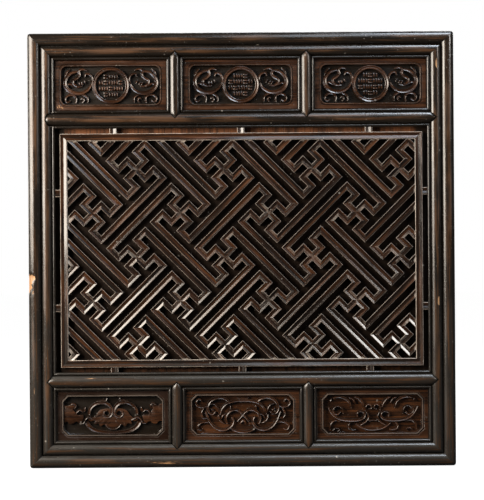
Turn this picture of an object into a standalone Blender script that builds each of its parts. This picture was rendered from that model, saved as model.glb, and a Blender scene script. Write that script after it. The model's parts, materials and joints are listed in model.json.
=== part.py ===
"""Carved wooden lattice panel, to be hung on a wall or built into an opening.

A moulded and mitred frame, two mid rails and four muntins hold six carved
panels and, in the middle, a diagonal fret lattice in a frame of its own, which
ten short struts carry in front of three upright backing boards.

Units are metres, +Z is up. Each piece is drawn lying on its back, with X to the
right, Y up the panel and Z the height above the back. Then it is stood up, so
that the face looks along -Y, the back lies on Y = 0 and the origin is in the
middle of the back.
"""

import math

import bmesh
import bpy
from mathutils import Matrix, Vector

# The whole panel
WIDTH = 0.600
HEIGHT = 0.612
THICKNESS = 0.030
CORNER_RADIUS = 0.004
GAP = 0.0003

# Widths across the moulded face of the frame, from the outer edge inwards
OUTER_EDGE = 0.001
OUTER_ROUND = 0.016
GROOVE = 0.0015
INNER_ROUND = 0.014
QUIRK = 0.001
BEAD = 0.004
FRAME_FACE = OUTER_EDGE + OUTER_ROUND + GROOVE + INNER_ROUND + QUIRK + BEAD

# Cross pieces: one round between two beads
MID_RAIL_ROUND = 0.0155
MUNTIN_ROUND = 0.0135
MID_RAIL = MID_RAIL_ROUND + 2 * (QUIRK + BEAD)
MUNTIN = MUNTIN_ROUND + 2 * (QUIRK + BEAD)

# Openings for the carved panels, and the middle one, which the muntins leave
PANEL_OPENING_HEIGHT = 0.071
MIDDLE_OPENING_WIDTH = 0.1615

# Heights above the back
OUTER_BASE = 0.0245
INNER_BASE = 0.0235
INNER_CREST = 0.0285
CROSS_CREST = 0.0282
BEAD_BASE = 0.0222
BEAD_CREST = 0.0245
PANEL_FACE = 0.0195
RIM_RISE = 0.0008
RELIEF_TOP = 0.0190
LEAF_TOP = 0.0170
FIELD_FLOOR = 0.0130
POINT_FLOOR = 0.0165

# Rabbets at the back, which the boards and the carved panels lie in
BOARD_THICKNESS = 0.0125
RABBET_WIDTH = 0.006
RABBET_HEIGHT = BOARD_THICKNESS + GAP

# Sunk fields of the carved panels
FIELD_SIDE_MARGIN = 0.0095
FIELD_END_MARGIN = 0.0085
FIELD_ROUND = 0.008
FIELD_CHAMFER = 0.0072
RIM_WIDTH = 0.0016

# The lattice: its frame, struts and fret bars
LATTICE_CLEARANCE = 0.0075
LATTICE_MEMBER = 0.010
LATTICE_FRONT = 0.0245
LATTICE_BACK = 0.0135
HOLLOW_EDGE = 0.0012
HOLLOW_DEPTH = 0.0012
STRUT_WIDTH = 0.010
STRUT_FRONT = 0.0235
STRUT_FROM_SIDE = 0.075
STRUT_FROM_END = 0.0835
FRET_BAR = 0.0083
FRET_FRONT = 0.0235
FRET_BACK = 0.0140

# The fret fits its field: half diagonal steps of its grid across and up the
# field, and from the field's top left corner to the first cross
FRET_STEPS_ACROSS = 39.55
FRET_STEPS_UP = 24.92
FRET_START_STEPS_RIGHT = 22.82
FRET_START_STEPS_DOWN = 8.26

# A fret arm runs from the middle of its cross, with a hook and a tail, and
# four of them make a cross. Crosses of either hand stand a repeat apart.
HOOK_STEPS = 1
TAIL_STEPS = 6
REPEAT_STEPS = 5

# Area under which a run of the fret is left out as a splinter
SPLINTER_AREA = 0.00002

# Backing boards: what shows of the left one, and the middle one between its seams
LEFT_BOARD_SHOWING = 0.155
MIDDLE_BOARD_WIDTH = 0.168

# Steps in half an ellipse of each moulding, and in a rounded field corner
ROUND_STEPS = 4
BEAD_STEPS = 3
CORNER_STEPS = 3
RING_STEPS = 16

# How far a cutter reaches past what it cuts, and a relief below its ground
OVERCUT = 0.004
EMBED = 0.001

# Points closer than this are one, and an edge that bends less is left out
WELD = 0.000003
FLAT_ANGLE = math.radians(1)

# How much lower each shape of a carving lies than the one before
LAYER = 0.00008

# Places that follow from the sizes above
INNER_X = WIDTH / 2 - FRAME_FACE
INNER_Y = HEIGHT / 2 - FRAME_FACE
MID_RAIL_Y = INNER_Y - PANEL_OPENING_HEIGHT - MID_RAIL / 2
CENTRE_Y = MID_RAIL_Y - MID_RAIL / 2
PANEL_Y = INNER_Y - PANEL_OPENING_HEIGHT / 2
MUNTIN_X = (MIDDLE_OPENING_WIDTH + MUNTIN) / 2
SIDE_OPENING_WIDTH = INNER_X - MUNTIN_X - MUNTIN / 2
SIDE_PANEL_X = INNER_X - SIDE_OPENING_WIDTH / 2
LATTICE_X = INNER_X - LATTICE_CLEARANCE
LATTICE_Y = CENTRE_Y - LATTICE_CLEARANCE

# Size of the field that the carvings below are drawn for, and their unit
DRAWN_WIDTH = 0.139
DRAWN_HEIGHT = 0.054
DRAWN_UNIT = 0.001

# The roundel in the upper panels, and the rows of strokes cut in it
ROUNDEL_OUTER = 26.0
ROUNDEL_INNER = 20.8
STROKE_ROWS = 4
STROKE_PITCH = 8.4
STROKE_HEIGHT = 5.2
STROKE_WIDTH = 2.2
STROKE_STEP = 7.0
LYING_STROKE_LENGTH = 5.6
LYING_STROKE_EVERY = 3
STROKE_MARGIN = 1.6
STROKE_TOP = 0.0176

# Carved bands of the left half: knots along the middle of the band, and its
# width at the start, the middle and the end. The right half mirrors them.
UPPER_BANDS = {
    "body": (((-47, 20.5), (-58, 16.5), (-64.5, 6), (-62.5, -4), (-54, -10), (-43, -11),
              (-34.5, -4), (-29.5, 5), (-32.5, 14), (-38.5, 14)), (3, 6.5, 2.2)),
    "neck": (((-44, 16), (-53, 7.5), (-52.5, 2), (-46, -1.5), (-40, 3)), (3.5, 4, 2.4)),
    "crest": (((-43.5, 21.5), (-39, 22.6), (-33, 20.5)), (3, 3, 1.6)),
    "claw": (((-50, -24.6), (-49.5, -18.5), (-57, -16), (-63.5, -18), (-61, -22.5)), (2.5, 2.8, 2)),
    "hump": (((-43.5, -17.5), (-37, -17), (-33, -24.5)), (2.4, 3, 2.5)),
}
LOWER_LEFT_BANDS = {
    "volute": (((-34, 1), (-31.5, 10.5), (-23, 17.5), (-12, 18), (-3.5, 12), (-2, 3.5),
                (-8.5, -2), (-13.6, 3), (-9, 6.8)), (4, 5, 2)),
    "top_curl": (((-23, 19.5), (-11, 21.5), (-8.8, 25.5)), (2, 3, 2)),
    "hook": (((-46, -10.8), (-40, -6.5), (-34, -2), (-25, -6.5)), (2, 2.5, 2)),
    "leaf_curl": (((-61, 14), (-57, 17.3), (-52.6, 14.5), (-55, 9.5)), (2, 2.5, 2)),
    "side_curl": (((-53, 1), (-48, 7), (-42, 5)), (2, 2.5, 2)),
}
LOWER_LEFT_SPANS = {
    "crescent": (((-11, -11.5), (-6.5, -16.8), (0, -18.8)), (1.6, 2.4)),
    "swag": (((-38, -8), (-31, -17), (-17, -22), (0, -23.2)), (6, 4.6)),
}
LOWER_MIDDLE_BANDS = {
    "ring": (((-39, 5), (-44, 1), (-49.5, 8), (-47, 18), (-38, 23.3), (-27, 23), (-19.5, 18.5)), (2, 4, 4)),
    "wheel": (((-53, 5), (-49, -5), (-42, -15.5), (-32.5, -20.8), (-22, -19.7), (-14.5, -12.5), (-16, -2.5)),
              (2.5, 4.3, 3)),
    "loop": (((-22, -13), (-24.5, -5), (-20, 4), (-9, 6.8), (0, 0), (8.5, -9.5)), (3, 3.6, 2)),
    "corner_curl": (((-50.5, 13), (-60, 11), (-65.5, 17), (-61, 22.2), (-57.5, 18)), (2.5, 3.2, 1.8)),
    "side_curl": (((-56, 9), (-59, 1), (-53, -5)), (2, 3.4, 2)),
    "tail": (((-44.5, -11.5), (-58, -10.5), (-64, -15.5), (-61.5, -20.7), (-57, -20)), (2.5, 3.4, 2)),
    "inner_arc": (((-47, 15.5), (-38, 13.5), (-33.5, 4)), (1.8, 2.6, 2)),
}
LOWER_MIDDLE_SPANS = {
    "arch": (((-33, 0), (-28.5, 11.5), (-16, 18.3), (0, 20)), (3, 4)),
    "bottom": (((-20, -15.5), (-12, -21.3), (0, -23.6)), (3, 4)),
}
LOWER_RIGHT_BANDS = {
    "tendril": (((-63, 11), (-57, 0.5), (-46, -7), (-30, -9), (-17, -7.8), (-11.8, -1.5),
                 (-17, 4), (-22, 0), (-20.5, -4)), (2.5, 4.2, 2)),
    "ring": (((-42, 0), (-43.5, 8), (-50, 12), (-56.3, 6), (-52, -0.5), (-46, 3)), (1.8, 3, 2)),
    "long_arc": (((-56, 22.3), (-44, 23.3), (-34, 17), (-30.5, 8)), (2, 4, 2)),
    "short_arc": (((-26, 23.5), (-17, 19), (-12.5, 9)), (2, 4, 2)),
    "eye": (((-9.5, 5), (-10, 11), (-5, 13.8), (-2.2, 9), (-6, 7)), (2, 2.2, 1.8)),
    "waist": (((-11, 5), (-6.5, -4), (-10.5, -11), (-18, -16)), (1.8, 2.8, 2)),
    "foot": (((-31, -9), (-35, -16), (-31.5, -21.3), (-23, -21.8)), (2, 3.2, 2)),
    "side_arch": (((-61, -21.5), (-59, -11.5), (-45, -10)), (2.5, 3.2, 2)),
}
LOWER_RIGHT_SPANS = {
    "heart": (((-6.5, -5.5), (-4.5, -9.5), (0, -8.5)), (1.8, 2.3)),
    "swag": (((-24.5, -13), (-14, -19.4), (0, -21.6)), (3, 3.8)),
}
# Leaves of the lower left panel, as outlines: the wide one spans both halves
WIDE_LEAF = ((0, 9), (-16, 9), (-23.5, 1), (-36, -4.5), (-31.5, -8), (-26, -8), (-26, -12),
             (-17.5, -15.5), (-12.5, -12.5), (-7, -15.5), (0, -17))
SIDE_LEAF = ((-73, 14.5), (-63, 14), (-58, 17), (-54, 13), (-50, 1), (-42, 0.5), (-46, -11), (-56.5, -11.5),
             (-65, -8.5), (-73, -8.5))

# Quarter turns in a full one, and the signs of the four corners in turning order
QUARTERS = 4
CORNERS = ((1, -1), (1, 1), (-1, 1), (-1, -1))

FRAME_WOOD = (0.030, 0.019, 0.013, 1.0)
PANEL_WOOD = (0.075, 0.036, 0.019, 1.0)
LATTICE_WOOD = (0.045, 0.027, 0.018, 1.0)
BOARD_WOOD = (0.060, 0.030, 0.017, 1.0)

STAND_UP = Matrix.Rotation(math.radians(90), 4, "X")


def clear_scene():
    for obj in list(bpy.data.objects):
        bpy.data.objects.remove(obj, do_unlink=True)


def new_collection(name, hidden=False):
    collection = bpy.data.collections.new(name)
    collection.hide_render = hidden
    bpy.context.scene.collection.children.link(collection)
    return collection


def wood(name, colour, roughness):
    """A lacquered wood of one colour."""
    material = bpy.data.materials.new(name)
    material.use_nodes = True
    shader = material.node_tree.nodes["Principled BSDF"]
    shader.inputs["Base Color"].default_value = colour
    shader.inputs["Roughness"].default_value = roughness
    shader.inputs["Metallic"].default_value = 0.0
    return material


def clean(mesh):
    """Welds a mesh's doubled points and turns its faces outwards."""
    bm = bmesh.new()
    bm.from_mesh(mesh)
    bmesh.ops.remove_doubles(bm, verts=bm.verts, dist=WELD)
    bmesh.ops.recalc_face_normals(bm, faces=bm.faces)
    bm.to_mesh(mesh)
    bm.free()


def outline_mesh(name, loops, low, high):
    """A flat outline, given as closed loops in the plane of X and Y, thickened from low to high."""
    curve = bpy.data.curves.new(name, "CURVE")
    curve.dimensions = "2D"
    curve.fill_mode = "BOTH"
    curve.extrude = (high - low) / 2
    for loop in loops:
        spline = curve.splines.new("POLY")
        spline.points.add(len(loop) - 1)
        spline.use_cyclic_u = True
        for point, (x, y) in zip(spline.points, loop):
            point.co = (x, y, 0, 1)
    guide = bpy.data.objects.new(name, curve)
    DRAWING.collection.objects.link(guide)
    layer = DRAWING.view_layers[0]
    layer.update()
    mesh = bpy.data.meshes.new_from_object(guide.evaluated_get(layer.depsgraph))
    bpy.data.objects.remove(guide, do_unlink=True)
    bpy.data.curves.remove(curve)
    mesh.name = name
    mesh.transform(Matrix.Translation((0, 0, (low + high) / 2)))
    clean(mesh)
    return mesh


def add_piece(name, mesh, material, x=0.0, y=0.0, turn=0.0):
    """A piece of the panel, turned in its plane and put at a place on it, then stood up."""
    mesh.name = name
    mesh.materials.clear()
    mesh.materials.append(material)
    piece = bpy.data.objects.new(name, mesh)
    PIECES.objects.link(piece)
    piece.matrix_world = STAND_UP @ Matrix.Translation((x, y, 0)) @ Matrix.Rotation(turn, 4, "Z")
    return piece


def add_cutter(name, mesh, matrix, collection=None):
    cutter = bpy.data.objects.new(name, mesh)
    (collection or CUTTERS).objects.link(cutter)
    cutter.matrix_world = matrix
    cutter.hide_render = True
    cutter.display_type = "WIRE"
    return cutter


def add_boolean(piece, operation, tool):
    """A Boolean with one object, or with all those of a collection."""
    boolean = piece.modifiers.new(tool.name, "BOOLEAN")
    boolean.operation = operation
    boolean.solver = "EXACT"
    if isinstance(tool, bpy.types.Collection):
        boolean.operand_type = "COLLECTION"
        boolean.collection = tool
    else:
        boolean.object = tool


def half_ellipse(start, width, base, top, steps):
    """Points of a round moulding in a section, from its near side to its far side."""
    angles = [math.pi * step / steps for step in range(steps + 1)]
    middle = start + width / 2
    return [(middle - width / 2 * math.cos(a), base + (top - base) * math.sin(a)) for a in angles]


def frame_section():
    """Section of the outer frame, as distance from its outer edge and height."""
    inner_start = OUTER_EDGE + OUTER_ROUND + GROOVE
    points = [(0, 0), (0, OUTER_BASE)]
    points += half_ellipse(OUTER_EDGE, OUTER_ROUND, OUTER_BASE, THICKNESS, ROUND_STEPS)
    points += half_ellipse(inner_start, INNER_ROUND, INNER_BASE, INNER_CREST, ROUND_STEPS)
    points += half_ellipse(FRAME_FACE - BEAD, BEAD, BEAD_BASE, BEAD_CREST, BEAD_STEPS)
    points.append((FRAME_FACE, RABBET_HEIGHT))
    points.append((FRAME_FACE - RABBET_WIDTH, RABBET_HEIGHT))
    points.append((FRAME_FACE - RABBET_WIDTH, 0))
    return points


def cross_section(round_width):
    """Section of a mid rail or muntin, across its middle line and height."""
    half = round_width / 2 + QUIRK + BEAD
    points = [(-half + RABBET_WIDTH, 0), (-half + RABBET_WIDTH, RABBET_HEIGHT), (-half, RABBET_HEIGHT)]
    points += half_ellipse(-half, BEAD, BEAD_BASE, BEAD_CREST, BEAD_STEPS)
    points += half_ellipse(-round_width / 2, round_width, INNER_BASE, CROSS_CREST, ROUND_STEPS)
    points += half_ellipse(half - BEAD, BEAD, BEAD_BASE, BEAD_CREST, BEAD_STEPS)
    points += [(half, RABBET_HEIGHT), (half - RABBET_WIDTH, RABBET_HEIGHT), (half - RABBET_WIDTH, 0)]
    return points


def lattice_section():
    """Section of the lattice's frame: a hollow face between two raised edges."""
    middle = LATTICE_MEMBER / 2
    return [
        (0, LATTICE_BACK),
        (0, LATTICE_FRONT),
        (HOLLOW_EDGE, LATTICE_FRONT),
        (middle, LATTICE_FRONT - HOLLOW_DEPTH),
        (LATTICE_MEMBER - HOLLOW_EDGE, LATTICE_FRONT),
        (LATTICE_MEMBER, LATTICE_FRONT),
        (LATTICE_MEMBER, LATTICE_BACK),
    ]


def bar_mesh(name, section, length):
    """A bar along X whose section lies across Y."""
    mesh = outline_mesh(name, [section], -length / 2, length / 2)
    mesh.transform(Matrix(((0, 0, 1, 0), (1, 0, 0, 0), (0, 1, 0, 0), (0, 0, 0, 1))))
    return mesh


def mitred_mesh(name, section, length):
    """A bar along X, with its outer edge on Y = 0 and both ends cut to 45 degrees."""
    mesh = bar_mesh(name, section, length)
    for vertex in mesh.vertices:
        reach = length / 2 - vertex.co.y - GAP / math.sqrt(2)
        vertex.co.x = math.copysign(reach, vertex.co.x)
    return mesh


def mitred_frame(names, section, half_x, half_y, material):
    """Four mitred bars round a rectangle: bottom, right, top and left."""
    pieces = []
    for side, name in enumerate(names):
        upright = side % 2 == 1
        length = 2 * (half_y if upright else half_x)
        distance = half_x if upright else half_y
        turn = side * math.pi / 2
        x = distance * math.sin(turn)
        y = -distance * math.cos(turn)
        mesh = mitred_mesh(name, section, length)
        pieces.append(add_piece(name, mesh, material, x, y, turn))
    return pieces


def round_corners(pieces):
    """Takes the sharp outer corners off the frame."""
    turns = [step * math.pi / 2 / CORNER_STEPS for step in range(CORNER_STEPS + 1)]
    loop = [(CORNER_RADIUS * (math.sin(a) - 1), CORNER_RADIUS * (math.cos(a) - 1)) for a in turns]
    loop += [(OVERCUT, -CORNER_RADIUS), (OVERCUT, OVERCUT), (-CORNER_RADIUS, OVERCUT)]
    for corner, (right, up) in enumerate(CORNERS):
        points = [(right * (WIDTH / 2 + x), up * (HEIGHT / 2 + y)) for x, y in loop]
        mesh = outline_mesh("corner", [points], -OVERCUT, THICKNESS + OVERCUT)
        cutter = add_cutter("corner_" + str(corner), mesh, STAND_UP)
        for piece in (pieces[corner], pieces[(corner + 1) % len(pieces)]):
            add_boolean(piece, "DIFFERENCE", cutter)


def end_cutters(name, half_length, half_width, turned):
    """What comes off one end of a cross piece: it is pointed in front, butts lower down and lies in the rabbet."""
    sign = -1 if turned else 1
    far = half_length + half_width + OVERCUT
    wide = half_width + OVERCUT
    butt = half_length - GAP
    tenon = half_length + RABBET_WIDTH - GAP
    point = [(half_length - OVERCUT, -wide), (half_length + half_width, 0), (half_length - OVERCUT, wide)]
    front = point + [(far, wide), (far, -wide)]
    middle = [(butt, wide), (far, wide), (far, -wide), (butt, -wide)]
    back = [(tenon, wide), (far, wide), (far, -wide), (tenon, -wide)]
    levels = (
        (front, POINT_FLOOR - EMBED, THICKNESS + OVERCUT),
        (middle, RABBET_HEIGHT - GAP, POINT_FLOOR),
        (back, -OVERCUT, RABBET_HEIGHT - GAP + EMBED),
    )
    return [outline_mesh(name, [[(sign * x, y) for x, y in loop]], low, high) for loop, low, high in levels]


def add_cross_piece(name, round_width, length, x, y, turn):
    """A mid rail or muntin with its two pointed ends."""
    half_width = round_width / 2 + QUIRK + BEAD
    mesh = bar_mesh(name, cross_section(round_width), length + 2 * half_width + OVERCUT)
    piece = add_piece(name, mesh, MATERIALS["frame"], x, y, turn)
    for end, turned in (("near", False), ("far", True)):
        ends = new_collection(name + "_end_" + end, hidden=True)
        for level, mesh in enumerate(end_cutters(name, length / 2, half_width, turned)):
            add_cutter(ends.name + "_" + str(level), mesh, piece.matrix_world, ends)
        add_boolean(piece, "DIFFERENCE", ends)
    return piece


def cut_notch(host, name, half_width, x, y, turn):
    """The pointed notch in a host that takes the end of a cross piece, with its clearance."""
    reach = half_width + GAP * math.sqrt(2)
    loop = [(-OVERCUT, -reach - OVERCUT), (reach, 0), (-OVERCUT, reach + OVERCUT)]
    mesh = outline_mesh(name, [loop], POINT_FLOOR - GAP, THICKNESS + OVERCUT)
    matrix = STAND_UP @ Matrix.Translation((x, y, 0)) @ Matrix.Rotation(turn, 4, "Z")
    add_boolean(host, "DIFFERENCE", add_cutter(name, mesh, matrix))


def add_frame():
    """The outer frame, the cross pieces and the notches that they are let into."""
    names = ("bottom_rail", "stile_right", "top_rail", "stile_left")
    frame = mitred_frame(names, frame_section(), WIDTH / 2, HEIGHT / 2, MATERIALS["frame"])
    round_corners(frame)
    bottom_rail, stile_right, top_rail, stile_left = frame
    up = math.pi / 2
    for row, sign, outer in (("upper", 1, top_rail), ("lower", -1, bottom_rail)):
        rail_y = sign * MID_RAIL_Y
        rail = add_cross_piece(row + "_mid_rail", MID_RAIL_ROUND, 2 * INNER_X, 0, rail_y, 0)
        cut_notch(stile_right, row + "_notch_right", MID_RAIL / 2, INNER_X, rail_y, 0)
        cut_notch(stile_left, row + "_notch_left", MID_RAIL / 2, -INNER_X, rail_y, math.pi)
        for side, direction in (("left", -1), ("right", 1)):
            x = direction * MUNTIN_X
            name = row + "_muntin_" + side
            add_cross_piece(name, MUNTIN_ROUND, PANEL_OPENING_HEIGHT, x, sign * PANEL_Y, up)
            cut_notch(outer, name + "_outer", MUNTIN / 2, x, sign * INNER_Y, sign * up)
            cut_notch(rail, name + "_inner", MUNTIN / 2, x, sign * (CENTRE_Y + MID_RAIL), -sign * up)


def band_outline(knots, widths):
    """Outline of a carved band through its knots, whose width runs through three values."""
    points = [Vector(knot) for knot in knots]
    lengths = [0.0]
    for start, end in zip(points, points[1:]):
        lengths.append(lengths[-1] + (end - start).length)
    left = []
    right = []
    for index, point in enumerate(points):
        ahead = points[min(index + 1, len(points) - 1)] - points[max(index - 1, 0)]
        across = Vector((-ahead.y, ahead.x)).normalized()
        past_middle = 2 * lengths[index] / lengths[-1] - 1
        end_width = widths[2] if past_middle > 0 else widths[0]
        width = widths[1] + (end_width - widths[1]) * abs(past_middle)
        left.append(point + across * width / 2)
        right.append(point - across * width / 2)
    return [tuple(p) for p in left + right[::-1]]


def mirrored(points):
    return [(-x, y) for x, y in points]


def both_sides(bands):
    """Outlines of bands and of their mirror images."""
    outlines = []
    for knots, widths in bands.values():
        loop = band_outline(knots, widths)
        outlines += [[loop], [mirrored(loop)]]
    return outlines


def spans(bands):
    """Outlines of bands that cross the middle, from the knots of their left half."""
    outlines = []
    for knots, (end, middle) in bands.values():
        whole = list(knots) + mirrored(reversed(knots[:-1]))
        outlines.append([band_outline(whole, (end, middle, end))])
    return outlines


def circle(radius, steps):
    turns = [2 * math.pi * (step + 0.5) / steps for step in range(steps)]
    return [(radius * math.cos(a), radius * math.sin(a)) for a in turns]


def rectangle(x, y, width, height):
    return [
        (x - width / 2, y - height / 2),
        (x + width / 2, y - height / 2),
        (x + width / 2, y + height / 2),
        (x - width / 2, y + height / 2),
    ]


def roundel_strokes():
    """Rows of short strokes across the roundel, upright ones between one lying stroke and the next."""
    outlines = []
    for row in range(STROKE_ROWS):
        y = (row - (STROKE_ROWS - 1) / 2) * STROKE_PITCH
        corner = abs(y) + STROKE_HEIGHT / 2 + STROKE_MARGIN
        reach = math.sqrt(ROUNDEL_INNER ** 2 - corner ** 2)
        count = int(2 * reach / STROKE_STEP)
        for index in range(count):
            x = (index - (count - 1) / 2) * STROKE_STEP
            if (index + row + 1) % LYING_STROKE_EVERY:
                stroke = rectangle(x, y, STROKE_WIDTH, STROKE_HEIGHT)
            else:
                stroke = rectangle(x, y, LYING_STROKE_LENGTH, STROKE_WIDTH)
            outlines.append([stroke])
    return outlines


def field_outline(half_x, half_y, corner, rounded):
    """Outline of a sunk field, with round or cut corners."""
    steps = CORNER_STEPS if rounded else 1
    points = []
    for quarter, (right, up) in enumerate(CORNERS):
        centre = (right * (half_x - corner), up * (half_y - corner))
        for step in range(steps + 1):
            angle = (quarter - 1 + step / steps) * math.pi / 2
            points.append((centre[0] + corner * math.cos(angle), centre[1] + corner * math.sin(angle)))
    return points


def add_carving(panel, outlines, top, unit):
    """Joins raised shapes to a panel, each a hair lower than the one before, so that they pass over each other."""
    shapes = new_collection(panel.name + "_relief_" + str(len(panel.modifiers)), hidden=True)
    for index, loops in enumerate(outlines):
        scaled = [[(x * unit, y * unit) for x, y in loop] for loop in loops]
        height = top - index * LAYER
        mesh = outline_mesh(panel.name, scaled, FIELD_FLOOR - EMBED, height)
        add_cutter(shapes.name + "_" + str(index), mesh, panel.matrix_world, shapes)
    add_boolean(panel, "UNION", shapes)


def add_carved_panel(name, x, y, width, rounded):
    """A panel that lies in the rabbets, with a raised front, a rim and a sunk field."""
    bm = bmesh.new()
    slab_x = width + 2 * (RABBET_WIDTH - GAP)
    slab_y = PANEL_OPENING_HEIGHT + 2 * (RABBET_WIDTH - GAP)
    middle = Matrix.Translation((0, 0, BOARD_THICKNESS / 2))
    bmesh.ops.create_cube(bm, size=1, matrix=middle @ Matrix.Diagonal((slab_x, slab_y, BOARD_THICKNESS, 1)))
    front = max(bm.faces, key=lambda face: face.calc_center_median().z)
    bmesh.ops.inset_region(bm, faces=[front], thickness=RABBET_WIDTH, use_even_offset=True)
    raised = bmesh.ops.extrude_discrete_faces(bm, faces=[front])["faces"][0]
    bmesh.ops.translate(bm, verts=raised.verts, vec=(0, 0, PANEL_FACE - BOARD_THICKNESS))
    mesh = bpy.data.meshes.new(name)
    bm.to_mesh(mesh)
    bm.free()
    panel = add_piece(name, mesh, MATERIALS["panel"], x, y)
    half_x = width / 2 - FIELD_SIDE_MARGIN
    half_y = PANEL_OPENING_HEIGHT / 2 - FIELD_END_MARGIN
    corner = FIELD_ROUND if rounded else FIELD_CHAMFER
    rim = field_outline(half_x + RIM_WIDTH, half_y + RIM_WIDTH, corner + RIM_WIDTH / 2, rounded)
    rim_mesh = outline_mesh(name, [rim], PANEL_FACE - EMBED, PANEL_FACE + RIM_RISE)
    add_boolean(panel, "UNION", add_cutter(name + "_rim", rim_mesh, panel.matrix_world))
    field = field_outline(half_x, half_y, corner, rounded)
    field_mesh = outline_mesh(name, [field], FIELD_FLOOR, THICKNESS)
    add_boolean(panel, "DIFFERENCE", add_cutter(name + "_field", field_mesh, panel.matrix_world))
    return panel


def carving_unit(width):
    """The carvings' drawing unit at the size of a panel's field."""
    across = (width - 2 * FIELD_SIDE_MARGIN) / DRAWN_WIDTH
    up = (PANEL_OPENING_HEIGHT - 2 * FIELD_END_MARGIN) / DRAWN_HEIGHT
    return DRAWN_UNIT * min(across, up)


def add_carved_panels():
    """Three upper panels with a roundel between scrolls, and three unlike lower ones."""
    columns = (
        ("left", -SIDE_PANEL_X, SIDE_OPENING_WIDTH),
        ("middle", 0.0, MIDDLE_OPENING_WIDTH),
        ("right", SIDE_PANEL_X, SIDE_OPENING_WIDTH),
    )
    leaves = [[list(WIDE_LEAF) + mirrored(reversed(WIDE_LEAF[1:-1]))]]
    leaves += [[list(SIDE_LEAF)], [mirrored(SIDE_LEAF)]]
    lower = {
        "left": both_sides(LOWER_LEFT_BANDS) + spans(LOWER_LEFT_SPANS),
        "middle": both_sides(LOWER_MIDDLE_BANDS) + spans(LOWER_MIDDLE_SPANS),
        "right": both_sides(LOWER_RIGHT_BANDS) + spans(LOWER_RIGHT_SPANS),
    }
    ring = [circle(ROUNDEL_OUTER, RING_STEPS), circle(ROUNDEL_INNER, RING_STEPS)]
    for column, x, width in columns:
        unit = carving_unit(width)
        upper_panel = add_carved_panel("upper_panel_" + column, x, PANEL_Y, width, True)
        add_carving(upper_panel, [ring] + both_sides(UPPER_BANDS), RELIEF_TOP, unit)
        add_carving(upper_panel, roundel_strokes(), STROKE_TOP, unit)
        lower_panel = add_carved_panel("lower_panel_" + column, x, -PANEL_Y, width, False)
        if column == "left":
            add_carving(lower_panel, leaves, LEAF_TOP, unit)
        add_carving(lower_panel, lower[column], RELIEF_TOP, unit)


def turned_arm(quarters):
    """The fret's arm after a number of quarter turns."""
    arm = [(0, 0), (HOOK_STEPS, 0), (HOOK_STEPS, -HOOK_STEPS)]
    arm += [(2 * HOOK_STEPS, -HOOK_STEPS), (2 * HOOK_STEPS, TAIL_STEPS)]
    for _ in range(quarters):
        arm = [(-b, a) for a, b in arm]
    return arm


def arm_cells(arm, a0, b0):
    """Cells along an arm that starts at a place: its turning points and every one between them."""
    cells = set()
    for (a1, b1), (a2, b2) in zip(arm, arm[1:]):
        count = 2 * max(abs(a2 - a1), abs(b2 - b1))
        for index in range(count + 1):
            a = 2 * (a0 + a1) + index * 2 * (a2 - a1) // count
            b = 2 * (b0 + b1) + index * 2 * (b2 - b1) // count
            cells.add((a, b))
    return cells


def fret_cells(reach):
    """Cells that the fret fills: even numbers are bars, odd ones the spaces between."""
    cells = set()
    for m in range(-reach, reach + 1):
        for n in range(-reach, reach + 1):
            for hand, shift in ((1, 0), (-1, -REPEAT_STEPS)):
                for quarters in range(QUARTERS):
                    arm = [(a, hand * b) for a, b in turned_arm(quarters)]
                    cells |= arm_cells(arm, REPEAT_STEPS * (m + n), REPEAT_STEPS * (m - n) + shift)
    return cells


def fret_sheet(half_x, half_y):
    """The fret as a flat sheet: a grid of bar and space cells, cut out, set on the diagonal and trimmed."""
    across = 2 * half_x / FRET_STEPS_ACROSS
    up = 2 * half_y / FRET_STEPS_UP
    step = math.hypot(across, up)
    slope = math.atan2(up, across)
    bar = FRET_BAR / math.sin(2 * slope)
    start = Vector((-half_x + FRET_START_STEPS_RIGHT * across, half_y - FRET_START_STEPS_DOWN * up, 0))
    reach = math.ceil((FRET_STEPS_ACROSS + FRET_STEPS_UP) / 2)
    first = -2 * reach
    count = 4 * reach + 1
    bm = bmesh.new()
    bmesh.ops.create_grid(bm, x_segments=count, y_segments=count, size=count / 2)
    bmesh.ops.translate(bm, verts=bm.verts, vec=(count / 2 + first, count / 2 + first, 0))
    filled = fret_cells(math.ceil(2 * reach / REPEAT_STEPS))
    spaces = []
    for face in bm.faces:
        middle = face.calc_center_median()
        if (math.floor(middle.x), math.floor(middle.y)) not in filled:
            spaces.append(face)
    bmesh.ops.delete(bm, geom=spaces, context="FACES")
    for vertex in bm.verts:
        places = []
        for value in vertex.co.xy:
            line, side = divmod(round(value), 2)
            places.append(line * step + (side - 1 / 2) * bar)
        along, rising = places
        vertex.co.x = start.x + (along + rising) * math.cos(slope)
        vertex.co.y = start.y + (rising - along) * math.sin(slope)
    for edge in (Vector((half_x, 0, 0)), Vector((-half_x, 0, 0)), Vector((0, half_y, 0)), Vector((0, -half_y, 0))):
        whole = list(bm.verts) + list(bm.edges) + list(bm.faces)
        bmesh.ops.bisect_plane(bm, geom=whole, dist=WELD, plane_co=edge, plane_no=edge, clear_outer=True)
    return bm


def area(faces):
    return sum(face.calc_area() for face in faces)


def joined_faces(bm):
    """Groups of faces that share edges, the largest first, without the splinters."""
    groups = []
    unseen = set(bm.faces)
    while unseen:
        group = set()
        waiting = [unseen.pop()]
        while waiting:
            face = waiting.pop()
            group.add(face)
            for edge in face.edges:
                waiting += [other for other in edge.link_faces if other not in group]
        unseen -= group
        groups.append(group)
    return sorted((group for group in groups if area(group) > SPLINTER_AREA), key=area, reverse=True)


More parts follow.
